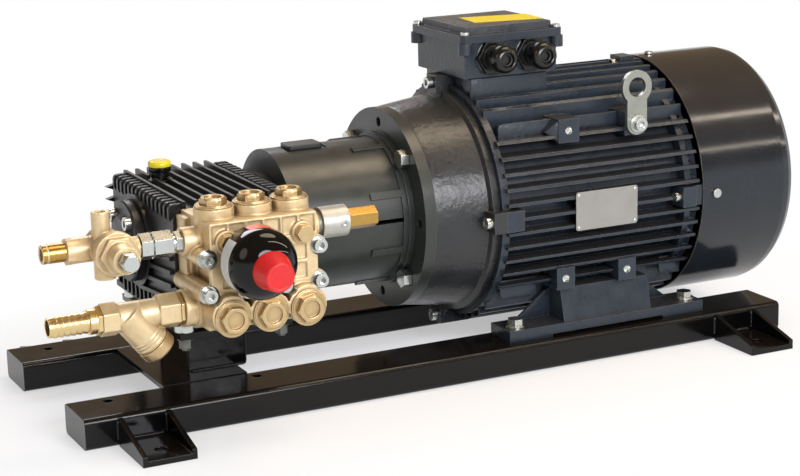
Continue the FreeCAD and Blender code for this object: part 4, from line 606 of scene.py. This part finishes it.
pads = {"low": [(164, 140, 108), (255, 140, 108)], "high": [(175, 130, 295), (272, 130, 295)]}
screwEnd = {"steps": 28, "profile": [(-3.2, 0), (-2.9, 2.97), (-1.6, 4.2075), (-0.4, 4.85), (-0.4, 4.95),
                                     (-8, 4.95), (-8, 0)]}
buttress = {"half": 14, "tip": (-30, -9, -1), "sink": 1, "root": 88, "edge": 1.2}
for side, sideName in sideNames.items():
    for k, (x, y, z) in enumerate(pads["low"] + pads["high"]):
        screw = turned("screwEnd", screwEnd["profile"], (x, side * y, z), (0, side, 0), screwEnd["steps"])
        piece(f"pad_screw_{sideName}_{k}", screw)
    x, y, z = pads["high"][0]
    half, tip, face = buttress["half"], buttress["tip"], side * (y - buttress["sink"])
    near = [(x - half, face, z + half), (x - half, face, z - half),
            (x + tip[0], side * (y + tip[1]), z + tip[2])]
    away = [(x, side * buttress["root"], z) for x, y, z in near]
    wedge = prism("buttress", near, away, buttress["edge"])
    piece(f"pad_buttress_{sideName}_0", wedge, slot="motor_paint")

# Pulsation damper: barrel, dome, blank tape and ink patch

damper = {"x": -296.8, "z": 217.5, "radius": 40.4, "back": 236.5, "shoulder": 264, "domeDeep": 29,
          "steps": 96}
barrel, back = damper["radius"], damper["back"]
domeAngles = [math.radians(degrees) for degrees in range(0, 67, 5)]
dome = [(damper["shoulder"] + damper["domeDeep"] * math.sin(a), barrel * math.cos(a)) for a in domeAngles]
shellProfile = [(206, 0), (206, 9), (222, 9), (222, 14), (back, 14), (back, barrel - 6),
                (back + 0.6, barrel - 4), (back + 2.2, barrel - 1.6), (back + 4, barrel - 0.4),
                (back + 5.5, barrel), *dome, (292, 14), (292, 11), (298, 10), (298, 0)]
shellMesh = turned("damperShell", shellProfile, (damper["x"], 0, damper["z"]), toFront, damper["steps"])
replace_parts(piece("damper_shell", shellMesh, slot="damper_paint"), "damper_body")

# the red cap, worn a little askew
redCap = {"start": (-297.0, -290.0, 216.4), "way": (-0.03, -1, -0.09), "steps": 72,
          "profile": [(0, 11.3), (0, 21.2), (0.6, 22.2), (1.8, 22.6), (3.6, 22.2), (26.0, 16.9), (27.2, 16.3),
                      (27.9, 15.2), (27.8, 13.6), (27.2, 13.0), (27.2, 0)]}
redMesh = turned("damperCapMesh", redCap["profile"], redCap["start"], redCap["way"], redCap["steps"])
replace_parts(piece("damper_cap_red", redMesh, "damper_cap", "red_plastic"), "damper_cap")

# thin patches on the barrel: from and to along the axis, from and to around it in degrees
patchSkin = {"above": 0.12, "below": 0.9, "steps": 24}
barrelPatches = {"damper_tape": {"front": 264, "back": 242, "from": 136, "to": 221, "look": "silverTape"},
                 "damper_ink": {"front": 262, "back": 243, "from": 66, "to": 106, "look": "orangeInk"}}


def barrelPatch(patch):
    bm = bmesh.new()
    low, high = barrel - patchSkin["below"], barrel + patchSkin["above"]
    section = ((patch["back"], low), (patch["back"], high), (patch["front"], high), (patch["front"], low))
    rings = []
    for k in range(patchSkin["steps"] + 1):
        angle = math.radians(patch["from"] + (patch["to"] - patch["from"]) * k / patchSkin["steps"])
        rings.append([bm.verts.new(Vector((damper["x"] + radius * math.cos(angle), -along,
                                           damper["z"] + radius * math.sin(angle))) * mm)
                      for along, radius in section])
    joinRings(bm, rings)
    return toMesh(bm, "barrelPatch")


for name, patch in barrelPatches.items():
    piece(name, barrelPatch(patch), slot="plate_metal", look=extras[patch["look"]])

# Oil filler plug: yellow dished top over a black neck, both lift together

plug = {"place": (-308, 30, 0),
        "top": [(276.5, 0), (276.5, 12.6), (277, 13.7), (278.5, 14), (281.5, 13.9), (283.2, 12.8),
                (284, 10.8), (283.8, 8), (283.4, 0)],
        "neck": [(241, 0), (241, 9), (261, 9), (262, 10.6), (270, 10.6), (270.6, 13.2), (271.5, 13.7),
                 (276, 13.7), (276.6, 0)]}
topMesh = turned("oilPlugTop", plug["top"], plug["place"], up)
neckMesh = turned("oilPlugNeck", plug["neck"], plug["place"], up)
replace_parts(piece("oil_plug_top", topMesh, "oil_plug", "oil_plastic"), "oil_plug")
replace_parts(piece("oil_plug_neck", neckMesh, "oil_plug", "black_plastic"), "oil_plug")

# Terminal box: a wider plateau on the lid and a blank strip let into it

strip = {"corners": [(106, 28), (100, -24), (191, -40), (194, 11)], "top": 424.9, "thick": 1.2}
plateau = {"from": 423.4, "centre": (130, 0, 0), "wider": (1.16, 1.14, 1), "sink": 0.5}
for v in bpy.data.objects["terminal_lid_edged"].data.vertices:
    if v.co.z > plateau["from"] * mm:
        v.co = scaled(v.co / mm, plateau["centre"], plateau["wider"]) * mm
        v.co.z -= plateau["sink"] * mm
near, away = ([(x, y, z) for x, y in strip["corners"]]
              for z in (strip["top"] - strip["thick"], strip["top"]))
piece("lid_strip", prism("lidStrip", near, away), slot="plate_metal", look=extras["yellowVinyl"])

# gland nuts with rounded noses, rubber seals and the bosses they screw into
gland = {"x": (103.5, 159), "z": 386.5, "bossZ": 386, "radius": 17.6,
         "boss": [(64, 23), (65.0, 23), (65.6, 22.2), (65.6, 19), (64, 19)]}
outer = gland["radius"]
nutProfile = [(84, 0), (84, outer - 1), (84.6, outer), (95, outer + 0.1), (99.5, outer - 0.6),
              (102.8, outer - 2.6), (104.6, outer - 5.4), (105, outer - 7), (104.4, outer - 8.2),
              (102.6, outer - 8.8), (98, outer - 9.2), (96, outer - 9.2), (96, 0)]
sealProfile = [(94, 0), (94, outer - 9), (101.2, outer - 9), (101.8, outer - 10), (101.2, outer - 11.4),
               (97, outer - 12), (97, 0)]
for k, x in enumerate(gland["x"]):
    place = (x, 0, gland["z"])
    nut = piece(f"gland_nut_{k}", turned("glandNut", nutProfile, place, toFront, 64), slot="black_plastic")
    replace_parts(nut, "gland_nuts")
    seal = turned("seal", sealProfile, place, toFront, 40)
    piece(f"gland_seal_{k}", seal, slot="black_plastic", look=extras["blackRubber"])
    boss = turned("collar", gland["boss"], (x, 0, gland["bossZ"]), toFront)
    piece(f"gland_boss_{k}", boss, slot="motor_paint")

# rivets at the corners of the rating plate
rivets = {"x": 213.5, "y": -158.1, "z": 197, "stepX": 41, "stepZ": 20.5, "steps": 20,
          "profile": [(0, 2.2), (0.5, 2.1), (1.0, 1.5), (1.25, 0.7), (1.3, 0)]}
for i in (-1, 1):
    for j in (-1, 1):
        place = (rivets["x"] + i * rivets["stepX"], rivets["y"], rivets["z"] + j * rivets["stepZ"])
        rivet = turned("rivet", rivets["profile"], place, toFront, rivets["steps"])
        piece(f"plate_rivet_{i + 1}{j + 1}", rivet)
print("stage trim")

# Weld beads where the brackets and the stand meet the frame

footWelds = {"radius": 2.5, "foot": 408, "half": 32, "y": 162.6, "low": 8, "high": 32, "outside": 0.4,
             "inside": 6.4, "start": 8}
footLines = []
for end in (-1, 1):
    left, right = (end * footWelds["foot"] + half for half in (-footWelds["half"], footWelds["half"]))
    walls = (left - footWelds["outside"], left + footWelds["inside"],
             right - footWelds["inside"], right + footWelds["outside"])
    for side in sideNames:
        y, low, high = side * footWelds["y"], footWelds["low"], footWelds["high"]
        footLines += [((x, y, low), (x, y, high)) for x in walls]
        footLines.append(((left + footWelds["start"], y, low), (right - footWelds["start"], y, low)))
for k, (start, end) in enumerate(footLines):
    piece(f"foot_weld_{k}", bead("footWeld", start, end, footWelds["radius"]), slot="rail_paint")
standWelds = {"radius": 1.4, "x": (-312.5, -238.5), "y": (-50, 50), "low": 38, "high": 99}
for k, (y, x) in enumerate((y, x) for y in standWelds["y"] for x in standWelds["x"]):
    mesh = bead("standWeld", (x, y, standWelds["low"]), (x, y, standWelds["high"]), standWelds["radius"])
    piece(f"stand_weld_{k}", mesh, slot="rail_paint")
standFootWelds = {"radius": 1.8, "x": (-311, -239), "y": (-50.6, 50.6), "z": 37.4}
for k, y in enumerate(standFootWelds["y"]):
    start, end = ((x, y, standFootWelds["z"]) for x in standFootWelds["x"])
    mesh = bead("standFootWeld", start, end, standFootWelds["radius"])
    piece(f"stand_foot_weld_{k}", mesh, slot="rail_paint")
print("stage welds")

# Camera at the photograph's angle, fitted to the photo: focal length in the photo's pixels, roll in degrees

view = {"place": (-1.09016, -2.23896, 0.76651), "aim": (0.42516, 0.87290, -0.23933), "roll": -1.41,
        "focalPixels": 1998, "widePixels": 800, "sensor": 36}
aim = Vector(view["aim"]).normalized()
level = aim.cross(Vector(up)).normalized()
rise = level.cross(aim)
roll = math.radians(view["roll"])
cameraX = level * math.cos(roll) + rise * math.sin(roll)
cameraY = rise * math.cos(roll) - level * math.sin(roll)
camera = bpy.data.objects.new("camera", bpy.data.cameras.new("camera"))
camera.data.lens = view["focalPixels"] / view["widePixels"] * view["sensor"]
camera.data.sensor_width = view["sensor"]
camera.data.clip_end = 50
turn = Matrix((cameraX, cameraY, -aim)).transposed().to_4x4()
camera.matrix_world = Matrix.Translation(Vector(view["place"])) @ turn
scene.collection.objects.link(camera)
scene.camera = camera

# Six area lamps at a plain level: where each stands, what it faces, width and height (m), watts, colour

lamps = {"ceilingBox": ((0.7, -0.2, 2.3), (0, 0, 0.2), 1.5, 0.9, 22, "ffe9cc"),
         "tubeHigh": ((1.7, -1.07, 1.82), (0.2, 0, 0.25), 2.6, 0.10, 13, "fff0dc"),
         "tubeLow": ((1.7, -1.75, 1.06), (0.2, 0, 0.25), 2.6, 0.06, 7, "fff0dc"),
         "leftBox": ((-2.2, -1.0, 1.5), (-0.2, 0, 0.2), 1.2, 1.4, 8, "fff0e0"),
         "frontBox": ((0.0, -2.05, 0.95), (-0.25, -0.1, 0.15), 1.3, 0.8, 40, "f2f3fa"),
         "backBox": ((0.1, 2.7, 2.0), (0, 0, 0.2), 2.0, 1.0, 34, "f2f4ff")}
for name, (place, target, wide, tall, watts, colour) in lamps.items():
    lamp = bpy.data.lights.new(name, "AREA")
    lamp.shape = "RECTANGLE" if name.startswith("tube") else "ELLIPSE"
    lamp.size = wide
    lamp.size_y = tall
    lamp.energy = watts
    lamp.color = linear(colour)[:3]
    look = (Vector(target) - Vector(place)).normalized()
    lampY = look.cross(Vector((1, 0, 0))).normalized()
    lampFrame = Matrix((lampY.cross(-look), lampY, -look)).transposed().to_4x4()
    obj = bpy.data.objects.new(name, lamp)
    obj.matrix_world = Matrix.Translation(Vector(place)) @ lampFrame
    scene.collection.objects.link(obj)

# Floor: pale, turns into the white backdrop just outside the frame and keeps the shadows under it

ground = {"half": 30, "below": -0.0005, "glow": 0.45, "from": 0.45, "to": 0.85, "squeeze": (1.0, 1.6, 1.0)}
floorMesh = bpy.data.meshes.new("floor")
floorMesh.from_pydata([(x * ground["half"], y * ground["half"], ground["below"])
                       for x, y in ((-1, -1), (1, -1), (1, 1), (-1, 1))], [], [(0, 1, 2, 3)])
floor = bpy.data.objects.new("floor", floorMesh)
scene.collection.objects.link(floor)
# pale matt floor: even off-white that takes soft shadows
pale = finish("paleFloor", "f4f4f4", "f1f1f1", rough=0.8, patch=300, grainHigh=0.0)
floor.data.materials.append(pale)
tree = pale.node_tree
spot = addNode(tree, "ShaderNodeNewGeometry").outputs["Position"]
spot = addNode(tree, "ShaderNodeVectorMath", {0: spot}, {1: ground["squeeze"]},
               operation="MULTIPLY").outputs[0]
distance = addNode(tree, "ShaderNodeVectorMath", {0: spot}, operation="LENGTH").outputs["Value"]
far = addNode(tree, "ShaderNodeMapRange", {"Value": distance},
              {"From Min": ground["from"], "From Max": ground["to"], "To Min": ground["glow"]}).outputs[0]
path = addNode(tree, "ShaderNodeLightPath").outputs
seen = path["Is Camera Ray"]
for ray in ("Is Glossy Ray", "Is Transmission Ray"):
    seen = addNode(tree, "ShaderNodeMath", {0: seen, 1: path[ray]}, operation="ADD").outputs[0]
share = addNode(tree, "ShaderNodeMath", {0: seen, 1: far}, operation="MULTIPLY", use_clamp=True).outputs[0]
glow = addNode(tree, "ShaderNodeEmission", values={"Strength": 1.0}).outputs[0]
paint = tree.nodes["Principled BSDF"].outputs[0]
both = addNode(tree, "ShaderNodeMixShader", {0: share, 1: paint, 2: glow}).outputs[0]
tree.links.new(both, tree.nodes["Material Output"].inputs["Surface"])

# World: white to the camera. Metal and paint see the white sweep up to about 3 degrees, which fades by 10
# degrees into a dim warm room. Everything else gets a dim cool grey.

studio = {"whiteTo": 0.05, "roomFrom": 0.18, "room": "8f7a62", "fill": "c4c8d2", "fillStrength": 0.5}
world = bpy.data.worlds.new("studio")
scene.world = world
world.use_nodes = True
tree = world.node_tree
tree.nodes.clear()
path = addNode(tree, "ShaderNodeLightPath").outputs
coords = addNode(tree, "ShaderNodeTexCoord").outputs["Generated"]
high = addNode(tree, "ShaderNodeSeparateXYZ", {0: coords}).outputs["Z"]
band = addNode(tree, "ShaderNodeMapRange", {"Value": high}, {
    "From Min": studio["whiteTo"], "From Max": studio["roomFrom"], "To Min": 1, "To Max": 0}).outputs[0]
white = addNode(tree, "ShaderNodeBackground", values={"Color": (1, 1, 1, 1), "Strength": 1.0}).outputs[0]
room = addNode(tree, "ShaderNodeBackground",
               values={"Color": linear(studio["room"]), "Strength": 1.0}).outputs[0]
dim = addNode(tree, "ShaderNodeBackground",
              values={"Color": linear(studio["fill"]), "Strength": studio["fillStrength"]}).outputs[0]
mirror = addNode(tree, "ShaderNodeMixShader", {0: band, 1: room, 2: white}).outputs[0]
shiny = addNode(tree, "ShaderNodeMath", {0: path["Is Glossy Ray"], 1: path["Is Transmission Ray"]},
                operation="ADD", use_clamp=True).outputs[0]
lit = addNode(tree, "ShaderNodeMixShader", {0: shiny, 1: dim, 2: mirror}).outputs[0]
lit = addNode(tree, "ShaderNodeMixShader", {0: path["Is Camera Ray"], 1: lit, 2: white}).outputs[0]
addNode(tree, "ShaderNodeOutputWorld", {0: lit})
scene.view_settings.view_transform = "Standard"
print("stage camera and light")
